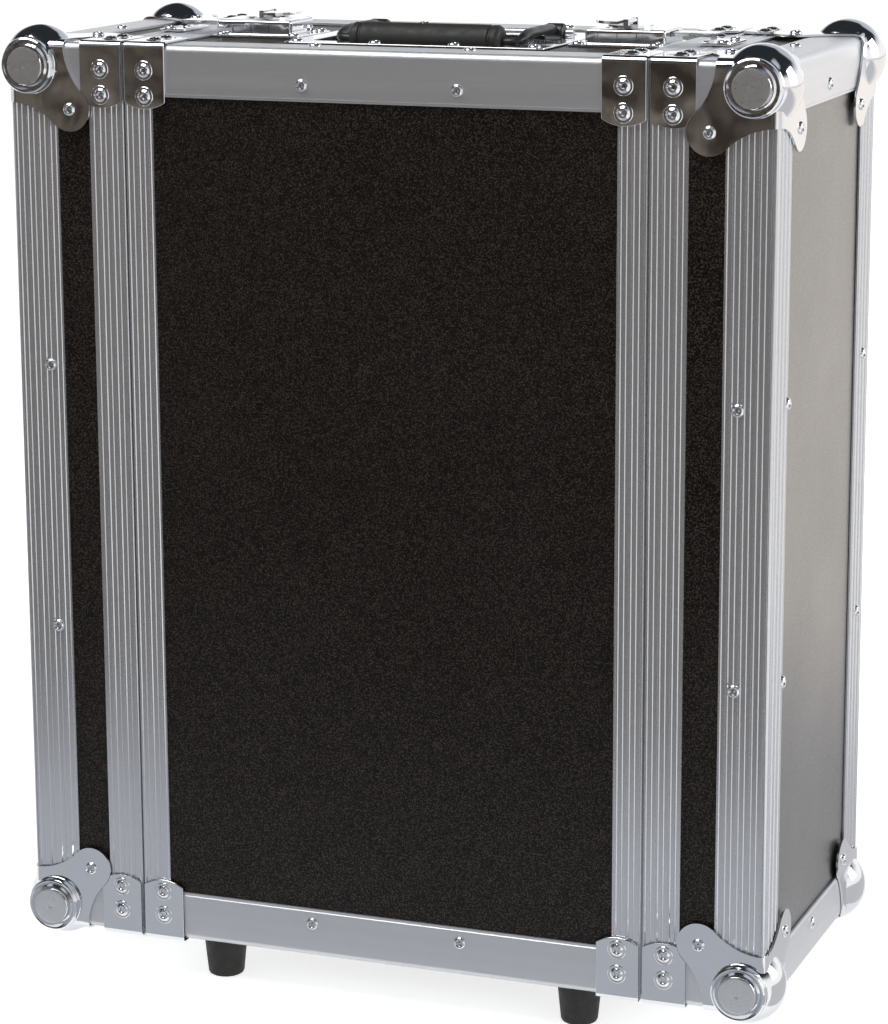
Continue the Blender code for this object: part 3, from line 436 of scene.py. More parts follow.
class Shader(Nodes):
    """A Principled material. Its plain colour and roughness give way where a texture takes their place;
    spread is the part of a noise texture's range that most of it lies in."""

    grain = 0.55
    spread = (0.3, 0.7)

    def __init__(self, name, colour, roughness, metallic=0.0):
        self.mat = bpy.data.materials.new(name)
        self.mat.use_nodes = True
        super().__init__(self.mat.node_tree)
        self.main = self.tree.nodes["Principled BSDF"].inputs
        self.feed(self.main["Base Color"], colour)
        self.feed(self.main["Roughness"], roughness)
        self.feed(self.main["Metallic"], metallic)

    def cells(self, scale):
        """Each point's distance to the middle of its cell."""
        return self.add("TexVoronoi", {"Vector": self.place, "Scale": scale}).outputs["Distance"]

    def stretched(self, scale):
        """Coordinates with a scale for each axis."""
        return self.add("Mapping", {"Vector": self.place, "Scale": scale}).outputs["Vector"]

    def colour(self, value, first, second):
        self.feed(self.main["Base Color"], self.mixed(value, first, second))

    def roughness(self, value, smoothest, roughest, spread=spread):
        """Roughness that follows a value over its spread."""
        self.feed(self.main["Roughness"], self.ramp(value, *spread, smoothest, roughest))

    def bump(self, height, strength, distance):
        """Relief, added to what the material has already."""
        node = self.add("Bump", {"Strength": strength, "Distance": distance, "Height": height})
        normal = self.main["Normal"]
        if normal.is_linked:
            self.feed(node.inputs["Normal"], normal.links[0].from_socket)
        self.feed(normal, node.outputs["Normal"])


# Materials


def laminate(name, coat, gloss):
    """Dark phenolic board with a fine speckle and a pebbled surface."""
    shader = Shader(name, (0.01, 0.008, 0.007), 0.4)
    speckle = shader.ramp(shader.noise(1250, 1.0), low=0.52, high=0.64)
    shader.colour(speckle, (0.0005, 0.0004, 0.0003), (0.085, 0.064, 0.050))
    shader.main["Specular IOR Level"].default_value = gloss
    shader.roughness(shader.noise(9, 3.0), 0.34, 0.46)
    shader.bump(shader.noise(820, 2.0), strength=0.3, distance=0.12 * MM)
    shader.main["Coat Weight"].default_value = coat
    shader.main["Coat Roughness"].default_value = 0.25
    return shader.mat


def aluminium(name, along, finish):
    """Anodised extrusion with fine die lines that run along one axis."""
    shader = Shader(name, (0.72, 0.73, 0.75), 0.3, 0.75)
    fine = [900.0, 900.0, 900.0]
    broad = [120.0, 120.0, 120.0]
    axis = "XYZ".index(along)
    fine[axis] = 3.0
    broad[axis] = 1.0
    lines = shader.noise(1.0, 2.0, shader.stretched(fine))
    bands = shader.noise(1.0, 1.0, shader.stretched(broad))
    shader.colour(bands, (0.70, 0.71, 0.74), (0.78, 0.79, 0.81))
    shader.roughness(lines, finish - 0.04, finish + 0.04)
    shader.bump(lines, strength=0.02, distance=0.04 * MM)
    return shader.mat


def chrome(name, roughness):
    """Plated pressed steel, a little wavy, with faint wear."""
    shader = Shader(name, (0.80, 0.81, 0.83), roughness, 1.0)
    shader.roughness(shader.noise(60, 4.0), roughness, roughness + 0.12, spread=(0.45, 0.8))
    shader.colour(shader.noise(35, 3.0), (0.74, 0.75, 0.77), (0.84, 0.85, 0.87))
    shader.bump(shader.noise(24, 1.0), strength=0.8, distance=1.2 * MM)
    return shader.mat


def turned_steel(name):
    """Satin lathe-turned steel with a faint grain."""
    shader = Shader(name, (0.78, 0.78, 0.79), 0.3, 0.8)
    shader.roughness(shader.noise(500, 2.0), 0.26, 0.36)
    shader.bump(shader.noise(90, 2.0), strength=0.06, distance=0.2 * MM)
    return shader.mat


def zinc(name):
    """Zinc-plated steel with its spangle."""
    shader = Shader(name, (0.55, 0.56, 0.58), 0.38, 1.0)
    shader.colour(shader.cells(420), (0.42, 0.43, 0.45), (0.66, 0.67, 0.68))
    shader.roughness(shader.noise(180, 3.0), 0.28, 0.48)
    shader.bump(shader.noise(700, 2.0), strength=0.1, distance=0.1 * MM)
    return shader.mat


def black_coat(name):
    """Black powder coat on the bail."""
    shader = Shader(name, (0.02, 0.02, 0.021), 0.36)
    shader.colour(shader.noise(120, 3.0), (0.014, 0.014, 0.015), (0.03, 0.03, 0.031))
    shader.roughness(shader.noise(60, 3.0), 0.28, 0.44)
    shader.bump(shader.noise(900, 2.0), strength=0.12, distance=0.1 * MM)
    return shader.mat


def rubber(name):
    """Matt black rubber of the feet and the grip."""
    shader = Shader(name, (0.02, 0.02, 0.02), 0.6)
    shader.colour(shader.noise(70, 4.0), (0.014, 0.013, 0.012), (0.034, 0.031, 0.028))
    shader.roughness(shader.noise(240, 2.0), 0.48, 0.68)
    shader.bump(shader.noise(1300, 2.0), strength=0.2, distance=0.1 * MM)
    return shader.mat


def foam(name):
    """Open-cell foam with pores, painted darker in their hollows as painted shade, and a soft mottling."""
    shader = Shader(name, (0.035, 0.035, 0.038), 0.95)
    pores = shader.cells(650)
    # The pores are painted darker in their hollows, a painted shade there; the bump sinks the same hollows.
    shader.colour(shader.ramp(pores, low=0.1, high=0.7), (0.012, 0.012, 0.014), (0.055, 0.055, 0.06))
    shader.bump(pores, strength=0.8, distance=0.6 * MM)
    shader.bump(shader.noise(40, 2.0), strength=0.3, distance=1.0 * MM)
    shader.main["Sheen Weight"].default_value = 0.2
    shader.main["Sheen Roughness"].default_value = 0.6
    return shader.mat


MATS = {
    "laminate": laminate("laminate", coat=0.0, gloss=0.35),
    "end_laminate": laminate("end_laminate", coat=1.0, gloss=0.5),
    "x": aluminium("aluminium_x", "X", finish=0.42),
    "y": aluminium("aluminium_y", "Y", finish=0.36),
    "z": aluminium("aluminium_z", "Z", finish=0.2),
    "chrome": chrome("chrome", roughness=0.06),
    "rivet": chrome("rivet_steel", roughness=0.14),
    "turned": turned_steel("turned_steel"),
    "zinc": zinc("zinc_plate"),
    "black": black_coat("black_coat"),
    "rubber": rubber("rubber"),
    "foam": foam("foam"),
}


# Rivets


# A domed tubular head with its hollow and the stub of the pin inside
RIVET = turned(in_mm([
    (0, 0.35), (0.6, 0.3), (0.95, 0.1), (1.1, -0.2), (1.4, 0.2), (1.65, 0.85), (1.95, 1.22),
    (2.4, 1.35), (2.9, 1.15), (3.35, 0.65), (3.6, 0), (3.6, -0.35), (0, -0.35),
]), steps=24)

# A brace's rivet, with a hollow dome on a wide dished flange
WIDE_RIVET = turned(in_mm([
    (0, -0.2), (1.0, -0.2), (1.2, 0.7), (1.6, 1.15), (2.3, 1.35), (3.0, 1.1), (3.5, 0.5), (3.9, 0.35),
    (4.6, 0.5), (5.0, 0.45), (5.3, 0.2), (5.3, -0.35), (0, -0.35),
]), steps=32)


def rivet_on(place, axis, side, rivet=RIVET):
    """A rivet on a face; place is on the face and axis is the face's direction."""
    turns = {"X": Z_TO_X, "Y": Z_TO_Y, "Z": Matrix.Identity(4)}
    seat = {"X": mirror(side, 1, 1), "Y": mirror(1, side, 1), "Z": mirror(1, 1, side)}
    return moved(rivet, shift(*place), seat[axis], turns[axis])


# Profiles of the extrusions


def beads(start, end, level):
    """A leg's outer line from start to end: raised beads, every other one slighter."""
    direction = 1 if end > start else -1
    floor = level - BEAD_HEIGHT
    points = []
    place = BEAD_START
    index = 0
    while place < abs(end - start) - BEAD_HALF:
        share = 1 if index % 2 == 0 else SLIGHT_BEAD
        middle = start + direction * place
        half = direction * BEAD_HALF * share
        crown = floor + BEAD_HEIGHT * share
        shoulder = crown - BEAD_SHOULDER_DROP * BEAD_HEIGHT
        points += [
            (middle - BEAD_FOOT * half, floor),
            (middle - BEAD_SHOULDER * half, shoulder),
            (middle, crown),
            (middle + BEAD_SHOULDER * half, shoulder),
            (middle + BEAD_FOOT * half, floor),
        ]
        place += BEAD_PITCH
        index += 1
    return points


def smooth_angle_profile(corner_a, corner_b):
    """An L round the corner (a, b) with flat legs, each with a low step at its inner edge."""
    low_a = corner_a - ANGLE_LEG
    low_b = corner_b - ANGLE_LEG
    sunk_a = corner_a - ANGLE_SINK
    sunk_b = corner_b - ANGLE_SINK
    flat = ANGLE_STEP + ANGLE_SLOPE
    points = [(low_a, corner_b - SKIN), (low_a, sunk_b)]
    points += [(low_a + ANGLE_STEP, sunk_b), (low_a + flat, corner_b)]
    points += arc((corner_a - ANGLE_RADIUS, corner_b - ANGLE_RADIUS), ANGLE_RADIUS, 90, 0, steps=10)
    points += [(corner_a, low_b + flat), (sunk_a, low_b + ANGLE_STEP), (sunk_a, low_b)]
    points += [(corner_a - SKIN, low_b), (corner_a - SKIN, corner_b - SKIN)]
    return points


def beaded_angle_profile(corner_a, corner_b):
    """An L round the corner (a, b) whose legs are beaded."""
    low_a = corner_a - ANGLE_LEG
    low_b = corner_b - ANGLE_LEG
    points = [(low_a, corner_b - SKIN), (low_a, corner_b - BEAD_HEIGHT)]
    points += reversed(beads(corner_a - RIBBED_RADIUS, low_a, corner_b))
    points += arc((corner_a - RIBBED_RADIUS, corner_b - RIBBED_RADIUS), RIBBED_RADIUS, 90, 0, steps=5)
    points += [(corner_a + out, along) for along, out in beads(corner_b - RIBBED_RADIUS, low_b, 0)]
    points += [(corner_a - BEAD_HEIGHT, low_b), (corner_a - SKIN, low_b), (corner_a - SKIN, corner_b - SKIN)]
    return points


def closure_profile(leg, groove):
    """A closure section: x runs from the joint into the part, y out from the board's inner face."""
    top = BOARD + GAP + SKIN
    lip = -GAP - CLOSURE_LIP
    middle = BOARD / 2
    web = WEB + GROOVE_DEPTH if groove else WEB
    front = JOINT_GAP / 2
    points = [(front, top - BEAD_HEIGHT)]
    points += beads(front, leg, top)
    points += [
        (leg, top - BEAD_HEIGHT),
        (leg, top - SKIN),
        (front + web, top - SKIN),
        (front + web, -GAP),
        (front + CLOSURE_LIP_LENGTH, -GAP),
        (front + CLOSURE_LIP_LENGTH, lip),
        (front, lip),
    ]
    half = TONGUE_WIDTH / 2
    if groove:
        end = front + GROOVE_DEPTH
        tip = root = half + 2 * GAP
    else:
        end = front - TONGUE_DEPTH
        tip = half
        root = half + GAP
    points += [(front, middle - root), (end, middle - tip), (end, middle + tip), (front, middle + root)]
    return points


def mitred_ring(profile, joint, into):
    """The profile swept round the case's rim; bars along Y take slot 0 and bars along Z slot 1."""
    bm = bmesh.new()
    loops = []
    for side_y, side_z in ((1, 1), (-1, 1), (-1, -1), (1, -1)):
        loops.append([
            bm.verts.new((joint + into * along, side_y * (INNER_Y + out), side_z * (INNER_Z + out)))
            for along, out in profile
        ])
    count = len(profile)
    for index, loop in enumerate(loops):
        following = loops[(index + 1) % 4]
        for point in range(count):
            after = (point + 1) % count
            face = bm.faces.new((loop[point], loop[after], following[after], following[point]))
            face.material_index = index % 2
    return closed_mesh(bm)


# Ball corners


def lobe_outline(clearance=0):
    """The sheet on one face of a ball corner, drawn inwards from the corner at (0, 0)."""
    notch = (LOBE_START + LOBE_NOTCH_RADIUS, 0)
    tip_radius = math.hypot(notch[0] - LOBE_RIVET, LOBE_RIVET) - LOBE_NOTCH_RADIUS
    bearing = math.degrees(math.atan2(LOBE_RIVET, LOBE_RIVET - notch[0]))
    first = arc(notch, LOBE_NOTCH_RADIUS - clearance, 180, bearing, steps=10)
    tip = arc((LOBE_RIVET, LOBE_RIVET), tip_radius + clearance, bearing - 180, 270 - bearing, steps=20)
    wrap = GAP + SHEET
    half = [(-wrap, -wrap), (LOBE_START + clearance, -wrap)] + first
    other = [(y, x) for x, y in reversed(half[1:])]
    return half + tip[1:-1] + other


def ball_corner_mesh():
    """A ball corner in its own corner's frame: outer faces at zero, the case towards minus."""
    face = GAP + SHEET
    depth = SHEET + 2 * GAP
    reach = LOBE_START + LOBE_NOTCH_RADIUS
    plate = moved(extrusion(lobe_outline(), depth), mirror(-1, -1, 1), shift(0, 0, face - depth / 2))
    sheet = combined(plate, [moved(plate, SWAP_Y_Z), moved(plate, SWAP_X_Z)], "UNION")
    rounded = rounded_box([-reach] * 3, [face] * 3, ANGLE_RADIUS + face)
    sheet = combined(sheet, [rounded], "INTERSECT")
    bm = bmesh.new()
    bmesh.ops.create_uvsphere(bm, u_segments=BALL_STEPS, v_segments=BALL_STEPS // 2, radius=BALL_RADIUS)
    sphere = moved(closed_mesh(bm), BALL_CENTRE)
    cut = [(0, POLE_CUT_TOP), (POLE_RADIUS, POLE_CUT_TOP), (POLE_RADIUS, POLE_LEVEL), (0, POLE_LEVEL)]
    ball = combined(sphere, [moved(turned(cut, BALL_STEPS), BALL_CENTRE, SWAP_Y_Z)], "DIFFERENCE")
    corner = rounded_box([-2 * reach] * 3, [GAP] * 3, ANGLE_RADIUS + GAP)
    shell = combined(combined(sheet, [ball], "UNION"), [corner], "DIFFERENCE")
    return softened(shell, THIN_EDGE)


def boss_mesh():
    """The turned face on a ball's side pole: a raised flat disc, a groove and a rim."""
    boss = turned(in_mm([
        (0, 20.9), (1.3, 20.95), (2.2, 21.3), (9.4, 21.3), (10.3, 21.0), (10.8, 20.3), (11.0, 18.0),
        (12.2, 17.3), (13.1, 18.0), (13.7, 18.9), (14.5, 19.1), (15.2, 18.6), (15.6, 17.4), (15.7, 13.0),
        (0, 13.0),
    ]), steps=BALL_STEPS)
    for polygon in boss.polygons:
        polygon.material_index = 0 if polygon.center.xy.length > BOSS_DISC_RADIUS else 1
    return boss


BALL_CORNER = ball_corner_mesh()
BOSS = boss_mesh()


def ball_corners(lid, side):
    """A lid's four ball corners, each with a turned boss and three rivets."""
    face = GAP + SHEET
    for side_y, side_z in SIDE_PAIRS:
        name = "%s_corner_%s_%s" % (lid, DEPTH_WORDS[side_y], HEIGHT_WORDS[side_z])
        x, y, z = side * OUTER_X, side_y * OUTER_Y, side_z * OUTER_Z
        way = [shift(x, y, z), mirror(side, side_y, side_z)]
        piece(name + "_ball", moved(BALL_CORNER, *way), MATS["chrome"], lid, name, name)
        boss = moved(BOSS, *way, BALL_CENTRE, SWAP_Y_Z)
        piece(name + "_boss", boss, [MATS["chrome"], MATS["turned"]], lid, name)
        in_x, in_y, in_z = x - side * LOBE_RIVET, y - side_y * LOBE_RIVET, z - side_z * LOBE_RIVET
        rivets = [
            rivet_on((in_x, in_y, z + side_z * face), "Z", side_z),
            rivet_on((in_x, y + side_y * face, in_z), "Y", side_y),
            rivet_on((x + side * face, in_y, in_z), "X", side),
        ]
        piece(name + "_rivets", merged(rivets), MATS["rivet"], lid, name)


# Closures and their braces


def brace_mesh():
    """A bent brace round the edge at (OUTER_Y, OUTER_Z), centred on X = 0, with round ends."""
    inner_y = OUTER_Y + GAP
    inner_z = OUTER_Z + GAP
    outer_y = inner_y + SHEET
    outer_z = inner_z + SHEET
    low_y = outer_y - BRACE_REACH
    low_z = outer_z - BRACE_REACH
    profile = [(low_y, inner_z), (low_y, outer_z)]
    profile += arc((outer_y - BRACE_BEND, outer_z - BRACE_BEND), BRACE_BEND, 90, 0, steps=6)
    profile += [(outer_y, low_z), (inner_y, low_z), (inner_y, inner_z)]
    strip = moved(extrusion(profile, BRACE_WIDTH), XY_TO_YZ)
    half = BRACE_WIDTH / 2
    sagitta = BRACE_END_RADIUS - math.sqrt(BRACE_END_RADIUS ** 2 - half ** 2)
    swing = math.degrees(math.asin(half / BRACE_END_RADIUS))
    wide = half + SHEET
    tall = BRACE_REACH + SHEET
    end = arc((0, BRACE_END_RADIUS), BRACE_END_RADIUS, -90 - swing, -90 + swing, steps=14)
    shape = [(-wide, tall), (-wide, sagitta)] + end + [(wide, sagitta), (wide, tall)]
    cutter = extrusion(shape, 4 * BRACE_REACH)
    down = moved(cutter, shift(0, outer_y, low_z), XY_TO_XZ)
    inward = moved(cutter, shift(0, low_y, outer_z))
    return combined(strip, [down, inward], "INTERSECT")


def notched(brace):
    """A lid's brace, cut clear of the ball corner's lobe on each of its two faces."""
    cutter = moved(extrusion(lobe_outline(LOBE_CLEARANCE), 4 * (GAP + SHEET)), mirror(-1, -1, 1))
    corner = shift(OUTER_X - JOINT_X - BRACE_FROM_JOINT - BRACE_WIDTH / 2, OUTER_Y, OUTER_Z)
    return combined(brace, [moved(cutter, corner), moved(cutter, corner, SWAP_Y_Z)], "DIFFERENCE")


PLAIN_BRACE = brace_mesh()
BRACE = softened(PLAIN_BRACE.copy(), WIDE_EDGE, WIDE_EDGE_SEGMENTS)
NOTCHED_BRACE = softened(notched(PLAIN_BRACE), WIDE_EDGE, WIDE_EDGE_SEGMENTS)


def closure(name, side, into, leg, groove, body):
    """A ring at a joint, with its four braces; side is the joint's end of the case, and into the way
    from the joint into the ring. The body's rings have a groove, and the lids' rings a tongue."""
    ring = mitred_ring(closure_profile(leg, groove), side * JOINT_X, into)
    piece(name + "_extrusion", ring, [MATS["y"], MATS["z"]], body, name, name)
    brace = BRACE if groove else NOTCHED_BRACE
    middle = side * JOINT_X + into * (BRACE_FROM_JOINT + BRACE_WIDTH / 2)
    rivets = []
    for side_y, side_z in SIDE_PAIRS:
        label = "%s_brace_%s_%s" % (name, DEPTH_WORDS[side_y], HEIGHT_WORDS[side_z])
        mesh = moved(brace, shift(middle), mirror(into, side_y, side_z))
        piece(label, mesh, MATS["chrome"], body, name)
        for inset in BRACE_RIVETS:
            on_wall = (middle, side_y * (OUTER_Y + GAP + SHEET), side_z * (OUTER_Z - inset))
            on_top = (middle, side_y * (OUTER_Y - inset), side_z * (OUTER_Z + GAP + SHEET))
            rivets.append(rivet_on(on_wall, "Y", side_y, WIDE_RIVET))
            rivets.append(rivet_on(on_top, "Z", side_z, WIDE_RIVET))
    piece(name + "_rivets", merged(rivets), MATS["rivet"], body, name)


# Frames and foam


def body_edges():
    """The smooth angles along the body, each with its rivets."""
    length = 2 * (JOINT_X - BODY_CLOSURE_LEG - GAP)
    section = extrusion(smooth_angle_profile(OUTER_Y, OUTER_Z), length)
    for side_y, side_z in SIDE_PAIRS:
        name = "body_edge_angle_%s_%s" % (DEPTH_WORDS[side_y], HEIGHT_WORDS[side_z])
        bar = moved(section, mirror(1, side_y, side_z), XY_TO_YZ)
        piece(name + "_bar", bar, MATS["x"], "case", name, name)
        in_y = side_y * (OUTER_Y - EDGE_RIVET_INSET)
        in_z = side_z * (OUTER_Z - EDGE_RIVET_INSET)
        rivets = []
        for x in (-BODY_EDGE_RIVET, BODY_EDGE_RIVET):
            rivets.append(rivet_on((x, side_y * OUTER_Y, in_z), "Y", side_y))
            rivets.append(rivet_on((x, in_y, side_z * OUTER_Z), "Z", side_z))
        piece(name + "_rivets", merged(rivets), MATS["rivet"], "case", name)


def lid_frame(lid, side):
    """Beaded uprights and smooth angles along X and Y, butted where the ball corners cover them."""
    node = lid + "_edge_frame"
    upright = extrusion(beaded_angle_profile(OUTER_X, OUTER_Y), 2 * (OUTER_Z - SKIN))
    uprights = [moved(upright, mirror(side, side_y, 1)) for side_y in SIDES]
    piece(node + "_uprights", merged(uprights), MATS["z"], lid, node, node)
    near = JOINT_X + LID_CLOSURE_LEG + GAP
    far = OUTER_X - ANGLE_LEG
    along_x = extrusion(smooth_angle_profile(OUTER_Y, OUTER_Z), far - near)
    along_x = moved(along_x, shift(0, 0, (near + far) / 2))
    rails = [moved(along_x, mirror(side, side_y, side_z), XY_TO_YZ) for side_y, side_z in SIDE_PAIRS]
    piece(node + "_rails", merged(rails), MATS["x"], lid, node)
    along_y = extrusion(smooth_angle_profile(OUTER_X, OUTER_Z), 2 * (OUTER_Y - ANGLE_LEG))
    along_y = moved(along_y, XY_TO_XZ)
    crosses = [moved(along_y, mirror(side, 1, side_z)) for side_z in SIDES]
    piece(node + "_crosses", merged(crosses), MATS["y"], lid, node)
    rivets = []
    edge_x = side * (OUTER_X - EDGE_RIVET_INSET)
    for side_y, side_z in SIDE_PAIRS:
        along = side_z * LID_EDGE_RIVET
        rivets.append(rivet_on((edge_x, side_y * OUTER_Y, along), "Y", side_y))
        edge_y = END_RIVET_FAR if side_y > 0 else -END_RIVET_NEAR
        rivets.append(rivet_on((side * OUTER_X, edge_y, along), "X", side))
    for side_z in SIDES:
        rivets.append(rivet_on((side * OUTER_X, 0, side_z * (OUTER_Z - EDGE_RIVET_INSET)), "X", side))
        rivets.append(rivet_on((edge_x, 0, side_z * OUTER_Z), "Z", side_z))
    piece(node + "_rivets", merged(rivets), MATS["rivet"], lid, node)


def foam_pad(lid):
    """The lid's lining: a crowned pad with rounded edges, a little inside its solid's space."""
    node = lid + "_foam"
    low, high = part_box(node)
    half = (high - low) / 2 - Vector([FOAM_MARGIN] * 3)
    middle = (high + low) / 2 - CENTRE
    bm = bmesh.new()
    bmesh.ops.create_cube(bm, size=1)
    bmesh.ops.subdivide_edges(bm, edges=bm.edges, cuts=FOAM_CUTS, use_grid_fill=True)
    for vert in bm.verts:
        u, v, w = 2 * vert.co
        rim = max(0, (max(abs(v), abs(w)) - FOAM_CROWN_START) / (1 - FOAM_CROWN_START))
        crown = 1 - FOAM_CROWN * rim ** 2
        vert.co = middle + Vector((u * half.x * crown, v * half.y, w * half.z))
    bevel = ("BEVEL", {"width": FOAM_EDGE, "segments": 2, "limit_method": "ANGLE"})
    mesh = applied(closed_mesh(bm), bevel)
    pad = piece(node + "_pad", mesh, MATS["foam"], lid, node, node)


# Latches and strikes; their frame has x from the joint along the case, and z out of it


def latch_plate(start):
    """The pressed plate under the housing."""
    half_x = LATCH_PLATE_LENGTH / 2
    outline = rounded_rectangle(half_x, LATCH_PLATE_WIDTH / 2, LATCH_PLATE_CORNER)
    return moved(softened(extrusion(outline, SHEET), SOFT_EDGE), shift(start + half_x, 0, SHEET / 2 - SKIN))


def latch_housing(start):
    """The housing that the claw slides in, with a well for the hub and slots in its sides."""
    wall = LATCH_HOUSING_WIDTH / 2
    back = start + LATCH_HOUSING_LENGTH
    low = (start + GAP, -wall, SHEET / 2 - SKIN)
    housing = rounded_box(low, (back, wall, LATCH_HOUSING_RISE), LATCH_HOUSING_EDGE, segments=4)
    channel_half = CLAW_WIDTH / 2 + CLAW_SIDE_GAP
    claw_top = CLAW_LEVEL + CLAW_THICKNESS + GAP
    channel = slab((0, -channel_half, CLAW_LEVEL - GAP), (back - 2 * SHEET, channel_half, claw_top))
    slots = []
    for hand in SIDES:
        for index in range(SLOT_COUNT):
            x = start + SLOT_START + SLOT_PITCH * index
            inner = (x, hand * (wall - SLOT_DEPTH), SLOT_LOW)
            slots.append(slab(inner, (x + SLOT_LENGTH, hand * (wall + MM), SLOT_HIGH)))
    well = turned(in_mm([(0, 9), (14.6, 9), (14.2, 7.1), (0, 7.1)]), steps=40)
    bore = turned(in_mm([(0, 9), (3.8, 9), (3.8, 5), (0, 5)]), steps=24)
    round_cuts = [moved(cut, shift(start + LATCH_HUB_BACK)) for cut in (well, bore)]
    return softened(combined(housing, [channel] + round_cuts + slots, "DIFFERENCE"), FINE_EDGE)


def latches():
    """The bases of the four latches; their hubs, wings and claws are CAD nodes that stay."""
    start = BODY_CLOSURE_LEG + GAP
    plate = latch_plate(start)
    housing = latch_housing(start)
    half = LATCH_PLATE_WIDTH / 2
    spots = []
    for x in (start + PLATE_RIVET_INSET, start + LATCH_PLATE_LENGTH - PLATE_RIVET_INSET):
        for y in (PLATE_RIVET_INSET - half, half - PLATE_RIVET_INSET):
            spots.append(rivet_on((x, y, SHEET - SKIN), "Z", 1))
    rivets = merged(spots)
    for side, hand in SIDE_PAIRS:
        base = "latch_%s_%s_base" % (END_WORDS[side], HEIGHT_WORDS[hand])
        way = [mirror(side, 1, hand), shift(JOINT_X, 0, OUTER_Z), mirror(-1, 1, 1)]
        piece(base + "_plate", moved(plate, *way), MATS["chrome"], "case", base, base)
        piece(base + "_housing", moved(housing, *way), MATS["chrome"], "case", base)
        piece(base + "_rivets", moved(rivets, *way), MATS["rivet"], "case", base)


def strikes(lid, side):
    """The two plates on a lid that the claws pull on, each with a raised lip and two rivets."""
    half_x = STRIKE_LENGTH / 2
    half_y = STRIKE_WIDTH / 2
    near = STRIKE_FROM_JOINT
    plate = extrusion(rounded_rectangle(half_x, half_y, STRIKE_CORNER), SHEET)
    plate = moved(plate, shift(near + half_x, 0, GAP + SHEET / 2))
    lip_y = half_y - STRIKE_LIP_INSET
    lip = slab((near + STRIKE_LIP_START, -lip_y, GAP), (near + STRIKE_LIP_END, lip_y, STRIKE_LIP_TOP))
    strike = softened(combined(plate, [lip], "UNION"), FINE_EDGE)
    rivet_x = near + STRIKE_LENGTH - PLATE_RIVET_INSET
    rivet_y = half_y - PLATE_RIVET_INSET
    rivets = merged([rivet_on((rivet_x, hand * rivet_y, GAP + SHEET), "Z", 1) for hand in SIDES])
    for hand in SIDES:
        node = "%s_strike_%s" % (lid, HEIGHT_WORDS[hand])
        way = [mirror(side, 1, hand), shift(JOINT_X, 0, OUTER_Z)]
        piece(node + "_plate", moved(strike, *way), MATS["chrome"], lid, node, node)
        piece(node + "_rivets", moved(rivets, *way), MATS["rivet"], lid, node)


# Handle


def handle_dish():
    """The pressed dish: a flange with rivets along its long sides, and a pan."""
    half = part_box("handle_dish")[1]
    top = OUTER_Z - SKIN + SHEET
    flange = extrusion(rounded_rectangle(half.x, half.y, DISH_CORNER), SHEET)
    flange = moved(flange, shift(0, 0, top - SHEET / 2))
    pan_x = half.x - DISH_FLANGE
    pan_y = half.y - DISH_FLANGE
    bottom = top - DISH_DEPTH
    outer = rounded_rectangle(pan_x + SHEET, pan_y + SHEET, DISH_CORNER + SHEET)
    pan = moved(extrusion(outer, DISH_DEPTH - SHEET / 2), shift(0, 0, (bottom + top - SHEET / 2) / 2))
    hollow = extrusion(rounded_rectangle(pan_x, pan_y, DISH_CORNER), DISH_DEPTH + SHEET)
    hollow = moved(hollow, shift(0, 0, bottom + SHEET + (DISH_DEPTH + SHEET) / 2))
    dish = combined(combined(flange, [pan], "UNION"), [hollow], "DIFFERENCE")
    dish = softened(dish, WIDE_EDGE, WIDE_EDGE_SEGMENTS)
    piece("handle_dish_pan", dish, MATS["chrome"], "case", "handle_dish", "handle_dish")
    rivet_y = half.y - DISH_FLANGE / 2
    spots = [rivet_on((x, hand * rivet_y, top), "Z", 1) for x in DISH_RIVETS for hand in SIDES]
    piece("handle_dish_rivets", merged(spots), MATS["rivet"], "case", "handle_dish")


def rounded_route(points, radius, steps):
    """The points with each inner corner replaced by a smooth turn."""
    points = [Vector(point) for point in points]
    route = [points[0]]
    for before, corner, after in zip(points, points[1:], points[2:]):
        start = corner + (before - corner).normalized() * min(radius, (before - corner).length / 2)
        end = corner + (after - corner).normalized() * min(radius, (after - corner).length / 2)
        for index in range(steps + 1):
            share = index / steps
            route.append(start.lerp(corner, share).lerp(corner.lerp(end, share), share))
    return route + [points[-1]]


def rod(points, radius):
    """A round rod along the points."""
    curve = bpy.data.curves.new("rod", "CURVE")
    curve.dimensions = "3D"
    curve.bevel_depth = radius
    curve.bevel_resolution = 5
    curve.use_fill_caps = True
    spline = curve.splines.new("POLY")
    spline.points.add(len(points) - 1)
    for point, place in zip(spline.points, points):
        point.co = (*place, 1)
    return evaluated(linked("rod", curve))


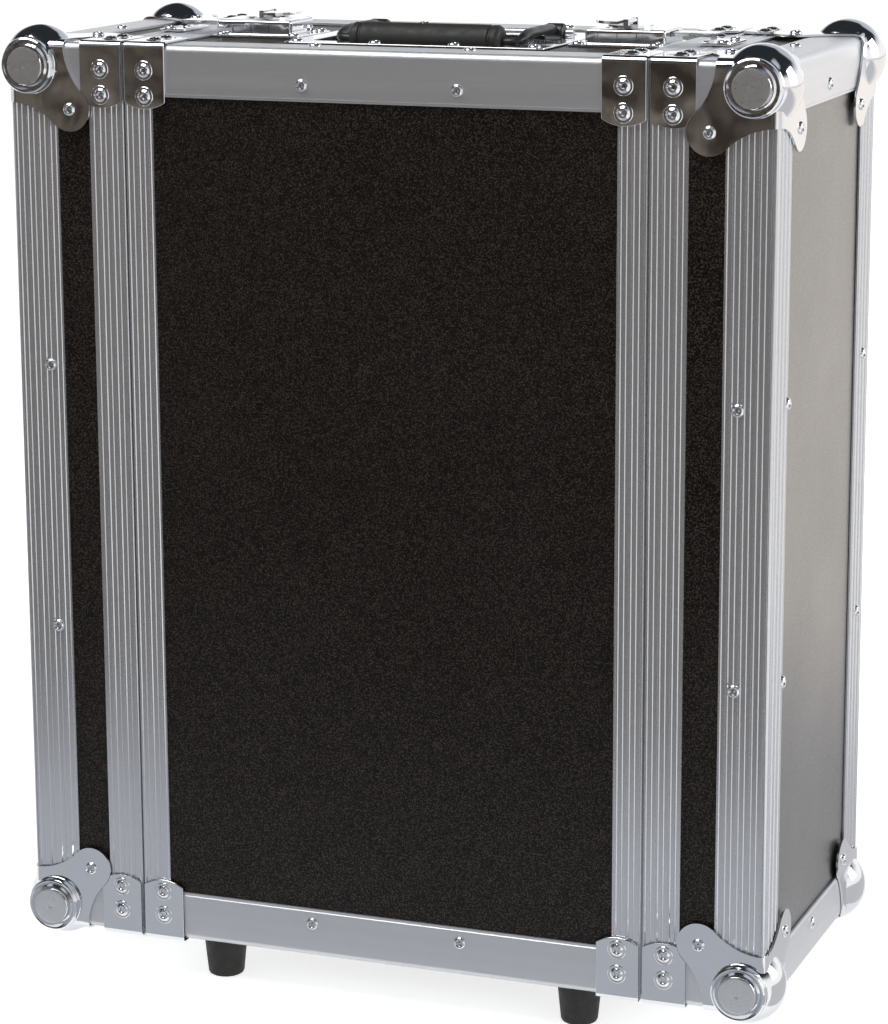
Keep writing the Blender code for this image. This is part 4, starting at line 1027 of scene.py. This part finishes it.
def handle():
    """The black bail on its pivots, and the moulded grip with a collar at each end."""
    pivot_z = OUTER_Z + PIVOT_RISE
    arm_z = OUTER_Z + BAIL_ARM_RISE
    half = GRIP_LENGTH / 2
    side_run = [
        (BAIL_ARM_X, PIVOT_Y, pivot_z),
        (BAIL_ARM_X, PIVOT_Y - BAIL_FROM_PIVOT, arm_z),
        (BAIL_ARM_X, GRIP_Y + BAIL_FROM_GRIP, arm_z),
        (BAIL_ARM_X, GRIP_Y, OUTER_Z),
        (half - BAIL_IN_GRIP, GRIP_Y, OUTER_Z),
    ]
    route = side_run + [(-x, y, z) for x, y, z in reversed(side_run)]
    bail = [rod(rounded_route(route, BAIL_BEND, steps=6), BAIL_RADIUS)]
    knob = turned(in_mm([
        (0, 6.2), (3.2, 6.0), (4.8, 5.2), (5.3, 4.0), (5.3, -4.0), (4.8, -5.2), (3.2, -6.0), (0, -6.2),
    ]), steps=32)
    for hand in SIDES:
        bail.append(moved(knob, shift(hand * BAIL_ARM_X, PIVOT_Y, pivot_z), Z_TO_X))
    piece("handle_bail_rod", merged(bail), MATS["black"], "handle", "handle_bail", "handle_bail")
    profile = [(2.9 * MM, half)]
    collar = in_mm([(3.0, 0), (1.2, 0.8), (0.2, 2.2), (0.2, 5.0), (0.9, 5.6), (0.9, 6.4), (0, 7.2)])
    profile += [(GRIP_RADIUS - inward, half - from_end) for inward, from_end in collar]
    profile += [(GRIP_RADIUS, height * MM) for height in (32, 24, 16, 8, 0)]
    profile += [(radius, -height) for radius, height in reversed(profile[:-1])]
    grip = moved(turned(profile, steps=40), shift(0, GRIP_Y, OUTER_Z), Z_TO_X)
    piece("handle_grip_sleeve", grip, MATS["rubber"], "handle", "handle_grip", "handle_grip")


# Feet


def feet():
    """Tapered rubber feet, each with a soft top edge and a hole for its screw from below."""
    floor = OUTER_Z - CENTRE.z
    profile = in_mm([(0, -0.3), (12.1, -0.3), (12.5, -0.8), (12.4, -2.4)])
    tread = in_mm([
        (10.4, 1.8), (9.8, 0.6), (8.8, 0), (5.4, 0), (5.0, 0.5), (5.0, 14), (4.0, 14), (3.8, 11.4),
        (3.0, 11), (0, 11),
    ])
    profile += [(radius, floor + height) for radius, height in tread]
    foot = turned(profile, steps=48)
    for side, hand in SIDE_PAIRS:
        name = "foot_%s_%s" % (END_WORDS[side], DEPTH_WORDS[hand])
        mesh = moved(foot, shift(side * FOOT_X, hand * FOOT_Y, -OUTER_Z))
        piece(name + "_bumper", mesh, MATS["rubber"], "case", name, name)


# CAD nodes whose shape stays


def dress_nodes():
    """Materials for the nodes whose shape is kept, and softer edges on the metal ones."""
    looks = {
        "_end_panel": "end_laminate", "_panel": "laminate", "_side_panels": "laminate",
        "rack_rail": "zinc", "handle_axle": "zinc", "_hub": "chrome", "_wing": "chrome", "_claw": "chrome",
    }
    for name, node in frame["nodes"].items():
        look = next((look for word, look in looks.items() if word in name), None)
        if look:
            node.data.materials.clear()
            node.data.materials.append(MATS[look])
        if look in ("zinc", "chrome"):
            bevel = node.modifiers.new("Bevel", "BEVEL")
            bevel.width = THIN_EDGE
            bevel.segments = 2
            bevel.limit_method = "ANGLE"
            bevel.angle_limit = math.radians(NODE_BEVEL_ANGLE)


# Studio


def world():
    """White to the camera. For light and reflections a room that is dim and blotchy on the camera's
    side, white at the back and the right, and has a patterned ceiling."""
    space = bpy.data.worlds.new("studio")
    bpy.context.scene.world = space
    space.use_nodes = True
    space.node_tree.nodes.clear()
    tree = Nodes(space.node_tree, "Generated")
    direction = tree.add("SeparateXYZ", {"Vector": tree.place}).outputs

    def patches(scale, low, high, first, second):
        return tree.mixed(tree.smooth(tree.noise(scale, detail=1.0), low, high), first, second)

    white = (1.1, 1.1, 1.1)
    dim = patches(26.0, low=0.42, high=0.68, first=(0.030, 0.022, 0.017), second=(0.22, 0.19, 0.165))
    ceiling = patches(1.5, low=0.50, high=0.62, first=(0.024, 0.027, 0.031), second=(0.55, 0.59, 0.65))
    behind = tree.mixed(tree.smooth(direction["Y"], low=-0.35, high=0.25), dim, white)
    sides = tree.mixed(tree.smooth(direction["X"], low=0.35, high=0.8), behind, white)
    room = tree.mixed(tree.smooth(direction["Z"], low=0.2, high=0.5), sides, ceiling)
    lit = tree.add("Background", {"Color": room}).outputs["Background"]
    backdrop = tree.add("Background", {"Color": (1, 1, 1)}).outputs["Background"]
    to_camera = tree.add("LightPath").outputs["Is Camera Ray"]
    chosen = tree.add("MixShader", {"Fac": to_camera, 1: lit, 2: backdrop}).outputs["Shader"]
    tree.add("OutputWorld", {"Surface": chosen})


def stage_material(name):
    """A material with no shader yet, and its nodes."""
    mat = bpy.data.materials.new(name)
    mat.use_nodes = True
    mat.node_tree.nodes.clear()
    return mat, Nodes(mat.node_tree)


def paper(name, colour, near, far, mirrored):
    """Paper with a painted glow: for the camera it is weaker near the case than far from it, a painted shade
    round the case, and another glow paints its brightness in reflections.
    """
    mat, tree = stage_material(name)
    diffuse = tree.add("BsdfDiffuse", {"Color": colour}).outputs["BSDF"]
    distance = tree.add("VectorMath", {0: tree.place}, operation="LENGTH").outputs["Value"]
    # The camera's glow rises with distance from the case, so the floor is painted darker round it.
    seen = tree.smooth(distance, low=0.4, high=1.3, start=near, end=far)
    path = tree.add("LightPath").outputs
    # Glossy rays see a glow too, a painted reflection of the floor.
    reflected = tree.add("Math", {0: path["Is Glossy Ray"], 1: mirrored}, operation="MULTIPLY")
    inputs = {"Factor": path["Is Camera Ray"], "A": reflected.outputs["Value"], "B": seen}
    strength = tree.add("Mix", inputs).outputs["Result"]
    glow = tree.add("Emission", {"Strength": strength}).outputs["Emission"]
    both = tree.add("AddShader", {0: diffuse, 1: glow}).outputs["Shader"]
    tree.add("OutputMaterial", {"Surface": both})
    return mat


def reflection_glow(name, near_y, far_y, near, far, patches):
    """A glow that only polished faces see, a painted reflection of the floor: one colour close by, another
    with patches further off.
    """
    mat, tree = stage_material(name)
    across = tree.add("SeparateXYZ", {"Vector": tree.place}).outputs["Y"]
    blotches = tree.ramp(tree.noise(scale=11.0, detail=2.0), low=0.42, high=0.68)
    shade = tree.mixed(tree.smooth(across, near_y, far_y), near, tree.mixed(blotches, far, patches))
    light = tree.add("Emission", {"Color": shade}).outputs["Emission"]
    tree.add("OutputMaterial", {"Surface": light})
    return mat


def stage_plane(name, low, high, height, mat):
    """A level rectangle between two opposite corners."""
    bm = bmesh.new()
    corners = [(low[0], low[1]), (high[0], low[1]), (high[0], high[1]), (low[0], high[1])]
    bm.faces.new([bm.verts.new((x, y, height)) for x, y in corners])
    mesh = mesh_from(bm)
    mesh.name = name
    mesh.materials.append(mat)
    obj = linked(name, mesh)
    return obj


def apron(name, low, high, height, mat):
    """A plane just above the floor that only reflections see; it glows with a painted reflection."""
    obj = stage_plane(name, low, high, height, mat)
    obj.visible_camera = False
    obj.visible_diffuse = False
    obj.visible_shadow = False


def softbox(name, place, target, size, power):
    """An area lamp that faces its target."""
    lamp = bpy.data.lights.new(name, "AREA")
    lamp.shape = "RECTANGLE"
    lamp.size, lamp.size_y = size
    lamp.energy = power
    obj = linked(name, lamp)
    obj.location = place
    obj.rotation_mode = "QUATERNION"
    obj.rotation_quaternion = (Vector(target) - Vector(place)).to_track_quat("-Z", "Y")


def studio():
    world()
    floor = paper("floor", (0.62, 0.62, 0.62), near=0.78, far=1.0, mirrored=0.65)
    stage_plane("floor", (-12, -2.4), (12, 14), 0, floor)
    # The aprons' glows paint the reflections in polished faces: in front light close by and dark and patchy
    # further off, to the right brighter further off.
    front = reflection_glow("front_apron", near_y=-0.30, far_y=-0.75, near=(0.45, 0.47, 0.51),
                        far=(0.05, 0.038, 0.030), patches=(0.24, 0.23, 0.22))
    right = reflection_glow("right_apron", near_y=0.35, far_y=0.95, near=(0.60, 0.60, 0.62),
                        far=(1.06, 1.0, 0.94), patches=(1.12, 1.06, 1.0))
    apron("front_apron", (-3, -2.4), (0.35, -0.13), 0.6 * MM, front)
    apron("right_apron", (0.25, -0.1), (5, 9), 0.8 * MM, right)
    softbox("top_light", place=(-0.8, -1.0, 2.6), target=(0, 0, 0.3), size=(1.8, 1.2), power=42)
    softbox("right_light", place=(2.6, 0.9, 1.3), target=(0.1, 0, 0.3), size=(1.2, 1.6), power=26)


def camera():
    """The photograph's viewpoint."""
    yaw, pitch, roll = (math.radians(angle) for angle in (CAMERA_YAW, CAMERA_PITCH, CAMERA_ROLL))
    ahead = Vector((-math.sin(yaw) * math.cos(pitch), math.cos(yaw) * math.cos(pitch), -math.sin(pitch)))
    level = Vector((math.cos(yaw), math.sin(yaw), 0))
    up = level.cross(ahead)
    right = math.cos(roll) * level + math.sin(roll) * up
    top = -math.sin(roll) * level + math.cos(roll) * up
    data = bpy.data.cameras.new("camera")
    data.sensor_width = SENSOR_WIDTH
    data.lens = SENSOR_WIDTH * FOCAL_PIXELS / PHOTO_HEIGHT
    data.clip_start = 0.1
    data.clip_end = 60
    obj = linked("camera", data)
    matrix = Matrix((right, top, -ahead)).transposed().to_4x4()
    matrix.translation = CENTRE + CAMERA_PLACE
    obj.matrix_world = matrix
    bpy.context.scene.camera = obj


def build():
    camera()
    studio()
    bpy.context.scene.view_settings.view_transform = "Standard"
    dress_nodes()
    body_edges()
    for side, word in END_WORDS.items():
        closure("body_closure_" + word, side, -side, BODY_CLOSURE_LEG, groove=True, body="case")
    for side, word in END_WORDS.items():
        lid = word + "_lid"
        closure(lid + "_closure", side, side, LID_CLOSURE_LEG, groove=False, body=lid)
        lid_frame(lid, side)
        ball_corners(lid, side)
        strikes(lid, side)
        foam_pad(lid)
    latches()
    handle_dish()
    handle()
    feet()


build()
